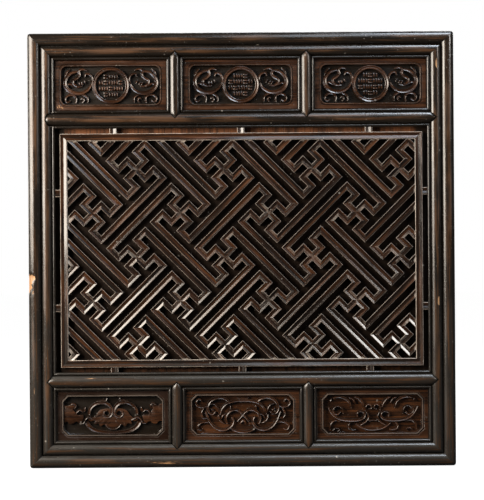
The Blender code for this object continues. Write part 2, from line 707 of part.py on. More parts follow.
def sides_touched(faces, half_x, half_y):
    """Which sides of the field a run of the fret ends on, in words."""
    points = [vertex.co for face in faces for vertex in face.verts]
    reaches = (
        ("_top", max(point.y for point in points) - half_y),
        ("_bottom", -half_y - min(point.y for point in points)),
        ("_left", -half_x - min(point.x for point in points)),
        ("_right", max(point.x for point in points) - half_x),
    )
    return "".join(side for side, past in reaches if past > -WELD)


def named_runs(groups, half_x, half_y):
    """The runs of the fret by name: the large one, and the short ones by the sides that they end on."""
    runs = {"fret_lattice": groups[0]}
    short = sorted(groups[1:], key=lambda group: min((v.co.x, v.co.y) for face in group for v in face.verts))
    sides = [sides_touched(group, half_x, half_y) for group in short]
    for index, (side, group) in enumerate(zip(sides, short)):
        number = "_" + str(sides[:index].count(side) + 1) if sides.count(side) > 1 else ""
        runs["fret" + side + number] = group
    return runs


def add_fret():
    """The fret bars, fused where they join: one large run and the short ones along the lattice's frame."""
    half_x = LATTICE_X - LATTICE_MEMBER - GAP
    half_y = LATTICE_Y - LATTICE_MEMBER - GAP
    sheet = fret_sheet(half_x, half_y)
    layer = sheet.faces.layers.int.new("run")
    runs = named_runs(joined_faces(sheet), half_x, half_y)
    for number, run in enumerate(runs.values(), 1):
        for face in run:
            face[layer] = number
    for number, name in enumerate(runs, 1):
        bm = sheet.copy()
        copied_layer = bm.faces.layers.int["run"]
        others = [face for face in bm.faces if face[copied_layer] != number]
        bmesh.ops.delete(bm, geom=others, context="FACES")
        bmesh.ops.dissolve_limit(bm, angle_limit=FLAT_ANGLE, verts=bm.verts, edges=bm.edges)
        bmesh.ops.translate(bm, verts=bm.verts, vec=(0, 0, FRET_BACK))
        mesh = bpy.data.meshes.new(name)
        bm.to_mesh(mesh)
        bm.free()
        piece = add_piece(name, mesh, MATERIALS["lattice"])
        thick = piece.modifiers.new("thickness", "SOLIDIFY")
        thick.thickness = FRET_FRONT - FRET_BACK
        thick.offset = 1.0
    sheet.free()


def add_box(name, material, x, y, width, height, low, high):
    bm = bmesh.new()
    place = Matrix.Translation((0, 0, (low + high) / 2)) @ Matrix.Diagonal((width, height, high - low, 1))
    bmesh.ops.create_cube(bm, size=1, matrix=place)
    mesh = bpy.data.meshes.new(name)
    bm.to_mesh(mesh)
    bm.free()
    return add_piece(name, mesh, material, x, y)


def add_struts():
    """Short struts that bridge the space between the lattice's frame and the opening."""
    span = LATTICE_CLEARANCE - 2 * GAP
    across = LATTICE_X + LATTICE_CLEARANCE / 2
    up = LATTICE_Y + LATTICE_CLEARANCE / 2
    wood_used = MATERIALS["lattice"]
    for side, sign in (("top", 1), ("bottom", -1)):
        for number, place in enumerate((-1, 0, 1), 1):
            x = place * (LATTICE_X - STRUT_FROM_SIDE)
            name = "strut_" + side + "_" + str(number)
            add_box(name, wood_used, x, sign * up, STRUT_WIDTH, span, LATTICE_BACK, STRUT_FRONT)
    for side, sign in (("left", -1), ("right", 1)):
        for number, place in enumerate((-1, 1), 1):
            y = place * (LATTICE_Y - STRUT_FROM_END)
            name = "strut_" + side + "_" + str(number)
            add_box(name, wood_used, sign * across, y, span, STRUT_WIDTH, LATTICE_BACK, STRUT_FRONT)


def add_lattice():
    names = ("lattice_frame_bottom", "lattice_frame_right", "lattice_frame_top", "lattice_frame_left")
    mitred_frame(names, lattice_section(), LATTICE_X, LATTICE_Y, MATERIALS["lattice"])
    add_fret()
    add_struts()


def add_boards():
    """Three upright boards that lie in the rabbets, flush with the back."""
    edge = INNER_X + RABBET_WIDTH - GAP
    height = 2 * (CENTRE_Y + RABBET_WIDTH - GAP)
    left_seam = -INNER_X + LEFT_BOARD_SHOWING
    right_seam = left_seam + MIDDLE_BOARD_WIDTH
    stretches = (
        ("left", -edge, left_seam - GAP / 2),
        ("middle", left_seam + GAP / 2, right_seam - GAP / 2),
        ("right", right_seam + GAP / 2, edge),
    )
    for side, start, end in stretches:
        name = "backing_board_" + side
        add_box(name, MATERIALS["board"], (start + end) / 2, 0, end - start, height, 0, BOARD_THICKNESS)


clear_scene()
DRAWING = bpy.data.scenes.new("drawing")
PIECES = new_collection("carved_lattice_panel")
CUTTERS = new_collection("cutters", hidden=True)
MATERIALS = {
    "frame": wood("dark lacquered frame", FRAME_WOOD, 0.38),
    "panel": wood("brown lacquered panel", PANEL_WOOD, 0.45),
    "lattice": wood("dark lacquered lattice", LATTICE_WOOD, 0.42),
    "board": wood("worn backing board", BOARD_WOOD, 0.55),
}
add_frame()
add_carved_panels()
add_lattice()
add_boards()
bpy.data.scenes.remove(DRAWING)
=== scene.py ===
"""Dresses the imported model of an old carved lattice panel.

It makes the mouldings, carvings, fret and boards, their finishes and the stage.
"""

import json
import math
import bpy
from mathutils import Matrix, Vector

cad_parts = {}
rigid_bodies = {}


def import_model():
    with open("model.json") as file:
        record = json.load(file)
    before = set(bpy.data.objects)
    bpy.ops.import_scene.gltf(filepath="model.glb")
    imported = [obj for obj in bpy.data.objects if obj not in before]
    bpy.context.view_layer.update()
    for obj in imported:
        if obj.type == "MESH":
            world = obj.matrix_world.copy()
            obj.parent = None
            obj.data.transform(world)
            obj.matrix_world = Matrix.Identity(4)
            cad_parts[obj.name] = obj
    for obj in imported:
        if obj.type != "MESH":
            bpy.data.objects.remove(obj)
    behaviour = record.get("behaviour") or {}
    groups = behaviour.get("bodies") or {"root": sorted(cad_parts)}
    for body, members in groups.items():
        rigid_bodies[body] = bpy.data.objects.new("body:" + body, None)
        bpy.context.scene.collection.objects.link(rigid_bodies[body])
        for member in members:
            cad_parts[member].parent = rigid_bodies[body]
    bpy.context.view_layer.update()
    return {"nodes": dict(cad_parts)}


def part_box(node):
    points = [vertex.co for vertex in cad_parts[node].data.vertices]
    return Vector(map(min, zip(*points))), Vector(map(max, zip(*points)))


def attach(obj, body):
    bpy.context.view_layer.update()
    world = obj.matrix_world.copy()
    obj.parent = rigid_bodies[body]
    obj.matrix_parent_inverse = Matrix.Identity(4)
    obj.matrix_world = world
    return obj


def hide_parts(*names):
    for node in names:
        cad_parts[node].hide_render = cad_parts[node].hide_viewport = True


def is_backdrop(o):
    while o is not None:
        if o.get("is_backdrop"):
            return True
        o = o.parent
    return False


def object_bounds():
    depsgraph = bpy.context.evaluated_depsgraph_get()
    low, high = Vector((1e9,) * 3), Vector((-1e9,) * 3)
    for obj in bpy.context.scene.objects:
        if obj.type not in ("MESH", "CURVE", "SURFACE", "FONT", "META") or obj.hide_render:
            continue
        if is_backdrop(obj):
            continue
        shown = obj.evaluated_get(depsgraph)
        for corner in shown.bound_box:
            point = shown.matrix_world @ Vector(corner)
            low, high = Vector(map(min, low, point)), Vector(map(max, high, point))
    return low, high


bl_info = {
    "name": "Carved lattice panel",
    "version": (1, 0, 0),
    "blender": (4, 5, 0),
    "location": "View3D > Sidebar > Lattice panel",
    "description": "Models the mouldings, carvings and diagonal fret of an old lacquered wooden panel",
    "category": "Add Mesh",
}

import bmesh
import bpy
from bpy.props import FloatProperty, FloatVectorProperty, PointerProperty
from mathutils import Matrix, Vector, noise

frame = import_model()

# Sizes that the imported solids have, in metres. Heights are measured from the back of the panel.
WIDTH = 0.600
HEIGHT = 0.612
THICKNESS = 0.030
CORNER_RADIUS = 0.004
GAP = 0.0003
OUTER_EDGE = 0.001
OUTER_ROUND = 0.016
GROOVE = 0.0015
INNER_ROUND = 0.014
QUIRK = 0.001
BEAD = 0.004
FRAME_FACE = OUTER_EDGE + OUTER_ROUND + GROOVE + INNER_ROUND + QUIRK + BEAD
MID_RAIL_ROUND = 0.0155
MUNTIN_ROUND = 0.0135
MID_RAIL = MID_RAIL_ROUND + 2 * (QUIRK + BEAD)
MUNTIN = MUNTIN_ROUND + 2 * (QUIRK + BEAD)
PANEL_OPENING_HEIGHT = 0.071
MIDDLE_OPENING_WIDTH = 0.1615
OUTER_BASE = 0.0245
INNER_BASE = 0.0235
INNER_CREST = 0.0285
CROSS_CREST = 0.0282
BEAD_BASE = 0.0222
BEAD_CREST = 0.0245
PANEL_FACE = 0.0195
RIM_RISE = 0.0008
RELIEF_TOP = 0.0190
LEAF_TOP = 0.0170
FIELD_FLOOR = 0.0130
POINT_FLOOR = 0.0165
BOARD_THICKNESS = 0.0125
RABBET_WIDTH = 0.006
RABBET_HEIGHT = BOARD_THICKNESS + GAP
FIELD_SIDE_MARGIN = 0.0095
FIELD_END_MARGIN = 0.0085
FIELD_ROUND = 0.008
FIELD_CHAMFER = 0.0072
RIM_WIDTH = 0.0016
LATTICE_CLEARANCE = 0.0075
LATTICE_MEMBER = 0.010
LATTICE_FRONT = 0.0245
LATTICE_BACK = 0.0135
STRUT_WIDTH = 0.010
STRUT_FRONT = 0.0235
STRUT_FROM_SIDE = 0.075
STRUT_FROM_END = 0.0835
FRET_BAR = 0.0083
FRET_FRONT = 0.0235
FRET_BACK = 0.0140
FRET_STEPS_ACROSS = 39.55
FRET_STEPS_UP = 24.92
FRET_START_STEPS_RIGHT = 22.82
FRET_START_STEPS_DOWN = 8.26
HOOK_STEPS = 1
TAIL_STEPS = 6
REPEAT_STEPS = 5
SPLINTER_AREA = 0.00002
LEFT_BOARD_SHOWING = 0.155
MIDDLE_BOARD_WIDTH = 0.168

INNER_X = WIDTH / 2 - FRAME_FACE
INNER_Y = HEIGHT / 2 - FRAME_FACE
MID_RAIL_Y = INNER_Y - PANEL_OPENING_HEIGHT - MID_RAIL / 2
CENTRE_Y = MID_RAIL_Y - MID_RAIL / 2
PANEL_Y = INNER_Y - PANEL_OPENING_HEIGHT / 2
MUNTIN_X = (MIDDLE_OPENING_WIDTH + MUNTIN) / 2
SIDE_OPENING_WIDTH = INNER_X - MUNTIN_X - MUNTIN / 2
SIDE_PANEL_X = INNER_X - SIDE_OPENING_WIDTH / 2
LATTICE_X = INNER_X - LATTICE_CLEARANCE
LATTICE_Y = CENTRE_Y - LATTICE_CLEARANCE

# Heights on the standing panel between which the film on the lower half thins out: settled dust with a
# painted sheen, and painted shade on the fret.
FILM_HEIGHTS = (-0.26, 0.04)

# How finely the finished pieces are made.
ROUND_STEPS = 16
BEAD_STEPS = 8
COVE_STEPS = 4
CORNER_STEPS = 8
HOLE_STEPS = 24
RING_STEPS = 72
BOARD_STEPS = 24
LENGTH_STEP = 0.003
STRUT_STEP = 0.0012
BAND_STEP = 0.9
KNOT_STEPS = 8
OVERCUT = 0.004
EMBED = 0.0006
WELD = 0.000002
SHARP_ANGLE = math.radians(32)
CRISP_ANGLE = math.radians(18)
MM = 0.001

# The frame's softened outer edge, as how far in and how far under the round's foot each point is.
OUTER_SOFTENING = ((0.0, 0.0008), (0.0003, 0.0001))
# Ends of the groove's floor, as shares of its width, and the floor of the quirk beside a bead.
GROOVE_FLOOR_SHARES = (0.8, 0.2)
QUIRK_FLOOR = BEAD_BASE - 0.0006
# Directions in which the blunt end of a rail is rounded off, and where a pointed end is eased.
BLUNT_TURNS = [math.radians(degrees) for degrees in range(-75, 76, 15)]
NOSE_TIP_SHARE = 0.7
NOSE_FROM = POINT_FLOOR + 0.001
# A carved panel's front edge, as how far in and how far under its face each point is.
PANEL_FRONT_EDGE = ((0.0, 0.0006), (0.0005, 0.0), (0.0012, 0.0))

# Planing marks: how many a metre along and across, the share and seed of the fine ones, the height
# that they start from and how soon they reach their depth.
BROAD_MARKS = (32, 140)
FINE_MARKS = (80, 240)
FINE_MARK_SHARE = 0.12
FINE_MARK_SEED = 9
MARKS_FROM = INNER_BASE - 0.001
LATTICE_MARKS_FROM = LATTICE_FRONT - 0.0035
MARKS_FADE = 0.004

# Numbers of the pieces, which shift their grain and seed their planing marks.
UPPER_RAIL_NUMBER = 5
LOWER_RAIL_NUMBER = 6
STRUT_NUMBER = 7
UPPER_PANEL_NUMBER = 20
LOWER_PANEL_NUMBER = 30
LATTICE_FRAME_NUMBER = 40
FRET_NUMBER = 50
BOARD_NUMBER = 60
FRAME_SEED_STEP = 7.0
CROSS_SEED = 40
CROSS_SEED_STEP = 5.0
LATTICE_SEED = 80.0
GRAIN_SHIFT = (0.37, 0.11)

# Carved bands of the small panels, in millimetres from each panel's middle: knots, widths at the
# start, middle and end, and 1 for a band at the top level or 0 for one just under it. A band that
# ends on the middle line runs on into its mirror image.
UPPER_BANDS = {
    "body": (((-46, 20.5), (-56, 17.5), (-63, 10), (-64.5, 2), (-60, -6), (-51, -10.5), (-41, -10.5),
        (-32, -5.5), (-27, 2.5)), (3, 6.5, 3), 1),
    "neck": (((-46, 20.5), (-44, 15), (-48, 10), (-53, 7), (-52.5, 2.5), (-47, -1.5)), (3.5, 4, 3), 1),
    "jaw": (((-64, -1), (-59, 2.5), (-53, 0.5), (-47, -1.5), (-40, -0.5)), (2, 3, 2), 0),
    "snout": (((-27, 2.5), (-25.8, 9), (-29, 15), (-35, 16.5), (-37, 12)), (3, 3, 2), 1),
    "crest": (((-46, 20.5), (-40, 23), (-33, 21)), (3, 3, 1), 1),
    "spine_outer": (((-45.5, 4.5), (-42.5, 0.5)), (2, 2, 2), 1),
    "spine_middle": (((-42, 5), (-39, 1)), (2, 2, 2), 1),
    "spine_inner": (((-38, 7), (-35, 3)), (2, 2, 2), 1),
    "claw": (((-50, -25), (-49, -18), (-53.5, -13.5), (-60.5, -14), (-64.5, -19), (-61.5, -23.5),
        (-57, -21)), (2.5, 3, 2), 1),
    "hump": (((-47, -12), (-39, -13), (-33, -17.5), (-33, -24)), (2, 3, 2.5), 1),
    "toe": (((-43, -19.5), (-40, -17.5), (-38, -21), (-41, -24)), (2, 2.5, 2), 1),
    "corner": (((-65.5, 12), (-62, 19), (-57, 23.5)), (1, 3, 1.5), 0),
}
LOWER_LEFT_BANDS = {
    "volute": (((-34, 1), (-32.5, 9), (-26.5, 15.5), (-17.5, 18.5), (-8.5, 17), (-3, 11.5), (-1.7, 4.5),
        (-4.5, -0.8), (-9.5, -1.8), (-13.3, 1.8), (-12.5, 6.5), (-8.5, 7)), (4, 5, 2), 1),
    "top": (((-23, 20), (-15, 21.5), (-10, 21.8), (-8.8, 25)), (1.5, 3, 2), 1),
    "crescent": (((-11, -12), (-6.5, -17), (0, -18.8)), (1.5, 2, 2.4), 1),
    "swag": (((-38, -8), (-33.5, -15.5), (-25, -20.8), (-13, -23.2), (0, -23.8)), (6.5, 5.5, 4), 1),
    "hook": (((-41, -9), (-38.5, -4.5), (-34, -2), (-29.5, -4), (-25, -6.5)), (2, 2.5, 2), 1),
    "link": (((-47, -11), (-42.5, -10.5), (-39.5, -7)), (2, 2, 2), 1),
    "curl": (((-61, 14), (-57, 17.3), (-52.6, 14.5), (-55, 9.5)), (2, 2.5, 2), 1),
    "small_curl": (((-53, 1), (-50.5, 6), (-46, 8), (-42, 5)), (2, 2.5, 2), 1),
    "bud": (((-41, 5), (-39.5, 12)), (4.5, 3, 1.5), 0),
}
LOWER_MIDDLE_BANDS = {
    "ring": (((-39, 5), (-42.5, 1), (-47.5, 3), (-50, 10), (-47, 18), (-40, 23), (-32, 24.3), (-25, 22.5),
        (-19.5, 18.5)), (2, 4, 4), 1),
    "inner": (((-47, 15.5), (-40, 15), (-35.5, 10), (-33.5, 3)), (1.5, 2.5, 2), 0),
    "arch": (((-33, 0), (-30, 9), (-23, 15.8), (-12, 19.3), (0, 20)), (3, 4, 4), 1),
    "wheel": (((-53, 5), (-50, -2), (-47, -9), (-41, -16.5), (-32.5, -20.8), (-23.5, -20.3),
        (-16.5, -15.5), (-13.7, -8.5), (-16, -2.5)), (2.5, 4.3, 3), 1),
    "loop": (((-22, -13), (-24.5, -6), (-22.5, 1), (-16.5, 6), (-8.5, 6.8), (-2.5, 3), (2, -2),
        (8.5, -9.5)), (3, 3.6, 2), 1),
    "bottom": (((-20, -15.5), (-12, -21.8), (0, -24.3)), (3, 4, 4.3), 1),
    "leaf": (((-35, 0), (-33, -7), (-26.5, -12)), (2, 3.5, 1.5), 0),
    "small_leaf": (((-31, -6), (-28.5, -0.5), (-23.5, 1.5)), (1.5, 2.5, 1.5), 0),
    "stem": (((-17.5, 13), (-19, 6)), (1.5, 2.5, 2), 0),
    "corner": (((-50.5, 13), (-57, 10.8), (-64, 13), (-66, 19), (-61, 22.5), (-57.5, 18.5)),
        (2.5, 3.2, 1.8), 1),
    "side": (((-56, 9), (-59, 2.5), (-56.5, -4), (-50.5, -4.5)), (2, 3.4, 2), 1),
    "tail": (((-44.5, -11.5), (-52, -10), (-59.5, -11), (-64.5, -15.5), (-62, -21), (-57, -20)),
        (2.5, 3.4, 2), 1),
    "tip": (((-8.5, 24.5), (-4, 22.3), (0, 22.6)), (1.5, 2, 3), 1),
    "bead": (((-45, 9), (-41, 6.5)), (2, 2.4, 2), 1),
    "heart": (((-4.5, -13), (0, -7)), (2, 3, 4), 0),
}
LOWER_RIGHT_BANDS = {
    "tendril": (((-63, 11), (-58.5, 2), (-51, -5), (-41, -8.3), (-30, -9), (-19, -8.3), (-12.3, -4.5),
        (-12, 1), (-17, 4), (-22.5, 1), (-21.5, -4)), (2.5, 4.2, 2), 1),
    "ring": (((-42, 0), (-43.5, 8), (-49.5, 12), (-56, 8), (-55.5, 2), (-50, -0.5), (-46, 3.5)),
        (1.5, 3, 2), 1),
    "outer_arc": (((-56, 22.8), (-47, 24), (-39, 21.8), (-33, 16.5), (-30.5, 8)), (2, 4, 2), 1),
    "inner_arc": (((-26, 24), (-20, 22), (-15, 16.5), (-12.5, 9)), (2, 4, 2), 1),
    "short_arc": (((-34, 23.5), (-28, 21), (-24.5, 15)), (1.5, 2.5, 1.5), 0),
    "eye": (((-9.5, 5.5), (-10.2, 10), (-7, 13.5), (-2.5, 12.5), (-2, 8), (-6, 7)), (2, 2.2, 1.8), 1),
    "glass": (((-11, 5), (-7.5, 0), (-6.5, -5), (-10.5, -11), (-18, -16)), (1.5, 2.8, 2), 1),
    "heart": (((-6.5, -5.5), (-4.5, -9.5), (0, -8.5)), (1.5, 2.3, 2), 1),
    "swag": (((-24.5, -13), (-14, -19.7), (0, -22)), (3, 3.8, 3.8), 1),
    "foot": (((-31, -11), (-35, -16), (-31.5, -21.5), (-23, -22)), (2, 3.2, 2), 1),
    "arch": (((-61, -22), (-60, -14), (-54, -8.8), (-45, -10.5)), (2.5, 3.2, 2), 1),
    "curl": (((-57, -23.5), (-52, -19.5), (-47, -21.5), (-49.5, -24.5)), (1.5, 2.4, 1.5), 0),
    "bud": (((-61, 18.5), (-58, 22)), (3.2, 3.2, 3), 0),
}
WIDE_LEAF = ((0, 9), (-5, 10), (-14, 9), (-20, 6.5), (-23.5, 1), (-29, -3.5), (-36, -4.5), (-31.5, -8),
        (-25.5, -7.5), (-26.5, -12), (-20.5, -11.5), (-17.5, -15.5), (-12.5, -12.5), (-7, -15.5), (0, -17))
SIDE_LEAF = ((-70, 15), (-63, 14), (-58, 17), (-54, 13), (-56, 9), (-53, 4.5), (-50, 1), (-42, 0.5),
        (-42.5, -6), (-46, -11), (-52, -8.5), (-56.5, -11.5), (-61.5, -12), (-65, -8.5), (-70, -8.5))

# Holes in the curls, as middle and radius, and the veins of the leaves.
CURL_HOLES = ((-8.6, 3.2, 3.3),)
LEAF_VEINS = (
    ((-4, -4), (-10, -7.5), (-16, -13)),
    ((-3, -7), (-6, -10.5), (-8, -14)),
    ((-14, 5), (-20, 0), (-28, -5.5)),
    ((-13, -2), (-19, -5), (-24, -10)),
    ((-66, 4), (-60, 6), (-56.5, 12)),
    ((-66, 0), (-58, -1), (-48, -3)),
    ((-65, -4), (-58, -6), (-52, -6.5)),
)

# A band's section: share of its half width, share of its wall's height and share of its hollow.
BAND_SECTION = ((0, 0, 0), (-1, 0, 0), (-1, 0.95, 0), (-0.93, 1, 0), (-0.8, 1, 0.05), (-0.58, 1, 0.5),
        (-0.32, 1, 0.86), (0, 1, 1))

# Where a band has extra stations near its ends, its deepest hollow as a share of its width, how much
# lower a band of level 0 lies, and how much each band and each mirror image lies under the last.
END_STATIONS = (0.12, 0.35, 0.65)
HOLLOW_SHARE = 0.2
LOWER_LEVEL = 0.0008
BAND_LAYER = 0.00009
MIRROR_LAYER = 0.00005
VEIN_WIDTHS = (0.5, 1.3, 0.6)
VEIN_TOP = LEAF_TOP + 0.0005

# Size of the field that the carvings are drawn for.
DRAWN_WIDTH = 0.139
DRAWN_HEIGHT = 0.054

# The roundel's section: radius in millimetres and share of its height. Then the strokes inside it.
ROUNDEL_TOP = RELIEF_TOP + 0.0002
ROUNDEL_OUTER = 26.3
ROUNDEL_INNER = 20.8
ROUNDEL_LEVELS = (
    (ROUNDEL_OUTER, 0), (ROUNDEL_OUTER, 0.9), (26.0, 0.985), (25.3, 1), (24.6, 0.94), (23.6, 0.86),
    (22.6, 0.88), (22.0, 0.96), (21.5, 0.965), (21.0, 0.92), (ROUNDEL_INNER, 0.8), (ROUNDEL_INNER, 0),
)
STROKE_ROWS = 4
STROKE_PITCH = 8.4
STROKE_LENGTH = 6.6
STROKE_WIDTH = 2.1
STROKE_STEP = 7.0
STROKE_SPACING = 3.7
STROKE_MARGIN = 0.4
STROKE_TOP = 0.0176
STROKE_HOLLOW = 0.4
LYING_STROKE_EVERY = 3

# Heights between which edges get rubbed and take a painted highlight, dirt and painted shade give way and
# lacquer wears thin, and how level that is.
FRAME_AGES = {"edge": (0.020, 0.022), "proud": (0.0195, 0.0262), "crest": (0.0255, 0.0275),
        "level": (0.82, 0.98)}
PANEL_AGES = {"edge": (0.0165, 0.0225), "proud": (0.0120, 0.0185), "crest": (0.0140, 0.0188),
        "level": (0.70, 0.98)}
LEAFY_AGES = {"edge": (0.0150, 0.0192), "proud": (0.0125, 0.0170), "crest": (0.0140, 0.0168),
        "level": (0.70, 0.98), "dull_face": 0.85}
# The lower panels' ground is painted lighter, as painted light against the shade of their deep field.
RUDDY_AGES = {"edge": (0.0150, 0.0192), "proud": (0.0080, 0.0155), "crest": (0.0040, 0.0135),
        "level": (0.60, 0.98), "ground_painted_light": 1.1}
LATTICE_AGES = {"edge": (0.018, 0.020), "proud": (0.0142, 0.0215), "crest": (0.0140, 0.0200),
        "level": (0.20, 0.80)}
BOARD_AGES = {"edge": (0.0, 0.02), "proud": (-0.02, -0.01), "crest": (-0.005, 0.004), "level": (0.5, 0.9)}

STAND_UP = Matrix.Rotation(math.radians(90), 4, "X")
COLUMNS = (("left", -SIDE_PANEL_X, SIDE_OPENING_WIDTH), ("middle", 0.0, MIDDLE_OPENING_WIDTH),
        ("right", SIDE_PANEL_X, SIDE_OPENING_WIDTH))
CORNERS = ((1, -1), (1, 1), (-1, 1), (-1, -1))

# Worn and chipped places on the frame: middle, half sizes, depth and how much raw wood shows.
WORN_PLACES = (
    ((-0.2965, -0.0378), (0.0055, 0.0052), 0.0012, 1.0),
    ((-0.2992, -0.0480), (0.0040, 0.0105), 0.0010, 1.0),
    ((-0.2935, -0.0590), (0.0022, 0.0035), 0.0002, 0.45),
    ((-0.2925, -0.1965), (0.0024, 0.0055), 0.0002, 0.42),
    ((-0.2160, -0.1795), (0.0120, 0.0015), 0.0002, 0.42),
    ((-0.2470, 0.1850), (0.0050, 0.0012), 0.0001, 0.40),
    ((-0.1050, -0.2985), (0.0300, 0.0022), 0.0001, 0.42),
    ((0.2765, -0.0745), (0.0016, 0.0075), 0.0002, 0.75),
    ((0.2755, 0.2605), (0.0015, 0.0085), 0.0002, 0.60),
)

# Heights between which the worn places fade in, so that the back edge stays whole.
CHIPPED_HEIGHTS = (0.009, 0.017)
# How ragged a chip is, where it fades out, its depth's base and swing, and how far it goes inwards.
CHIP_GRAIN = (500, 380)
CHIP_SEED = 3.0
CHIP_RAGGEDNESS = 0.35
CHIP_FADE = (0.75, 1.1)
CHIP_DEPTH = (0.8, 0.4)
CHIP_INWARDS = 0.5
CHIP_INWARDS_MOST = 0.0004

# Bends between which an edge gets rubbed and takes a painted highlight, in radians, how closely it has
# to run along its piece, and the heights between which the face of the leafy panel gets duller than its
# leaves.
RUBBED_AND_HIGHLIT_BENDS = (0.25, 0.9)
ALONG_SHARE = 0.9
DULL_HEIGHTS = (LEAF_TOP + 0.0006, RELIEF_TOP + 0.0002)

# Light scratches across one corner of the upper left panel, in millimetres from the panel's middle,
# with their widths, how far they rise, how raw they look and the height that this fades in over.
SCRATCH_WIDTHS = (0.5, 1.0, 0.5)
SCRATCH_RISE = 0.00006
SCRATCH_RAWNESS = 0.80
SCRATCH_FADE = 0.0005
SCRATCHES = (
    ((-73.8, -25.0), (-72.3, -29.5), (-70.0, -34.0)),
    ((-71.0, -28.0), (-68.5, -31.2), (-65.5, -34.2)),
    ((-76.3, -27.0), (-75.0, -30.5), (-73.4, -34.0)),
)

# The fret: how far its sheet reaches past the field, in bars, how level its front faces are, and
# how closely a run's box has to match that of its solid. The large run has the first number.
FRET_MARGIN_BARS = 2.5
FRONT_LEVEL = 0.9
FACING_FRONT = 0.01
NODE_MATCH = 0.002
LARGE_RUN = "fret_lattice"

# How clean the boards are at the back, and how much painted shade their front takes: at the foot, and
# where it changes above, below and beside the lattice.
BACK_CLEAN_SHARE = 0.75
FOOT_UNSHADED_SHARE = 0.45
UNSHADED_HEIGHTS = (LATTICE_Y - 0.009, LATTICE_Y - 0.002)
SHADED_SIDE = (LATTICE_X - 0.012, LATTICE_X)

# The grain's layers: output, stretch along and across, detail, and the range that is spread out.
GRAIN_LAYERS = (
    ("Streaks", (12, 420, 420), 5, 0.32, 0.68),
    ("Pores", (60, 1300, 1300), 3, 0.3, 0.7),
    ("Tone", (11, 60, 60), 5, 0.3, 0.7),
)

# Ranges of grain and of upward faces, each with the film's thickness at its two ends. Upward faces take the
# most, which paints a sheen on them as if lit from above.
PATCHY_FILM = (0.25, 0.8, 1.25, 0.25)
SHEEN_AND_DUST_ON_TOP = (0.0, 0.6, 0.60, 1.8)
# Shares and depths in the finishes.
WEAR_MIDDLE = 0.62
GRIME_AND_SHADE_RAGGEDNESS = 0.7
SPOT_SOFTNESS = 0.6
FINE_SPECK_SHARE = 0.6
RAW_RANGE = (0.38, 0.6)
RAW_SWING = 0.35
RAW_DARK_SHARE = 0.45
GLOSS_SPREAD = (-0.05, 0.08)
BUMP_DEPTH = 0.0004

# The five finishes. Colours are names of those in the sidebar, and bare_range is the range of the
# grain over which thin lacquer shows.
FINISHES = {
    "dark lacquered frame": dict(
        lacquer="frame_lacquer", thinned="thin_lacquer", bare_range=(0.25, 1.00), edges=0.15,
        grime=0.6, specks=0.7, gloss=0.24, relief=0.16, film_amount=0.60,
    ),
    "brown lacquered panel": dict(
        lacquer="panel_lacquer", thinned="ruddy_lacquer", bare_range=(0.05, 1.42), edges=0.17,
        grime=0.95, specks=0.4, gloss=0.27, relief=0.15, shine=0.42,
    ),
    # The fret's film takes the dark grime colour: painted shade on its lower half.
    "dark lacquered lattice": dict(
        lacquer="lattice_lacquer", thinned="ruddy_lacquer", bare_range=(0.2, 1.4), edges=0.60,
        grime=0.85, specks=0.5, gloss=0.16, relief=0.05, film_amount=0.60, film="grime", dulling=0.0,
    ),
    # Its pale edges are rubbed wear and a painted highlight.
    "rubbed lattice frame": dict(
        lacquer="lattice_lacquer", thinned="ruddy_lacquer", bare_range=(0.2, 1.3), edges=1.0,
        grime=0.85, specks=0.5, gloss=0.16, relief=0.05, film_amount=0.45,
    ),
    "worn backing board": dict(
        lacquer="board_lacquer", thinned="bare_board", bare_range=(0.1, 0.9), edges=0.12,
        grime=1.0, specks=0.6, gloss=0.60, relief=0.5, shine=0.1, dirt_and_shade="board_dirt",
    ),
}

# The lights: name, colour, power, width and height, place, and the point that it shines at.
LIGHTS = (
    ("warm_left", "warm_light", "warm_power", (0.72, 0.68), (-1.03, -0.86, 0.33), (-0.10, -0.02, 0.10)),
    ("warm_side", "warm_light", "side_power", (0.54, 0.7), (-1.43, -0.36, 0.36), (-0.25, -0.02, 0.15)),
    ("cool_above", "cool_light", "cool_power", (0.34, 0.56), (0.50, -0.56, 1.24), (0.20, -0.02, 0.05)),
    ("cool_low", "cool_light", "low_power", (0.30, 0.42), (0.15, -0.80, 0.82), (0.08, -0.02, -0.20)),
    ("plain_right", "plain_light", "right_power", (0.26, 0.26), (1.22, -0.95, 0.57), (0.2, -0.02, -0.05)),
    ("soft_behind", "soft_light", "back_power", (1.6, 1.2), (0.5, 2.0, 1.1), (0.0, 0.0, 0.0)),
)
FLOOR_RADIUS = 9.0
FLOOR_SEGMENTS = 64
FLOOR_DROP = 0.0004
FLOOR_CLOUD_SHARE = 0.9
FLOOR_ROUGHNESS = 0.9
FLOOR_SHINE = 0.1
WHITE = (1.0, 1.0, 1.0, 1.0)
EVEN_LIGHT = (0.95, 0.97, 1.0, 1.0)

# What the photograph's frame and view are. The camera's distance is from just under the face.
PHOTO_WIDTH = 484
PHOTO_HEIGHT = 500
PIXELS_PER_METRE = 711.1
PANEL_PIXEL = (241.65, 249.6)
PHOTO_ROLL = math.radians(0.4)
FOCUS_HEIGHT = 0.9
SENSOR = 36.0


def size(name, description, default, low=0.0, high=0.1):
    return FloatProperty(
        name=name, description=description, default=default, min=low, max=high, unit="LENGTH", precision=5,
    )


def share(name, description, default, low=0.0, high=1.0):
    return FloatProperty(
        name=name, description=description, default=default, min=low, max=high, subtype="FACTOR",
    )


def power(name, description, default):
    return FloatProperty(name=name, description=description, default=default, min=0.0, unit="POWER")


def colour(name, description, default):
    return FloatVectorProperty(
        name=name, description=description, default=default, size=3, min=0.0, max=1.0, subtype="COLOR",
    )


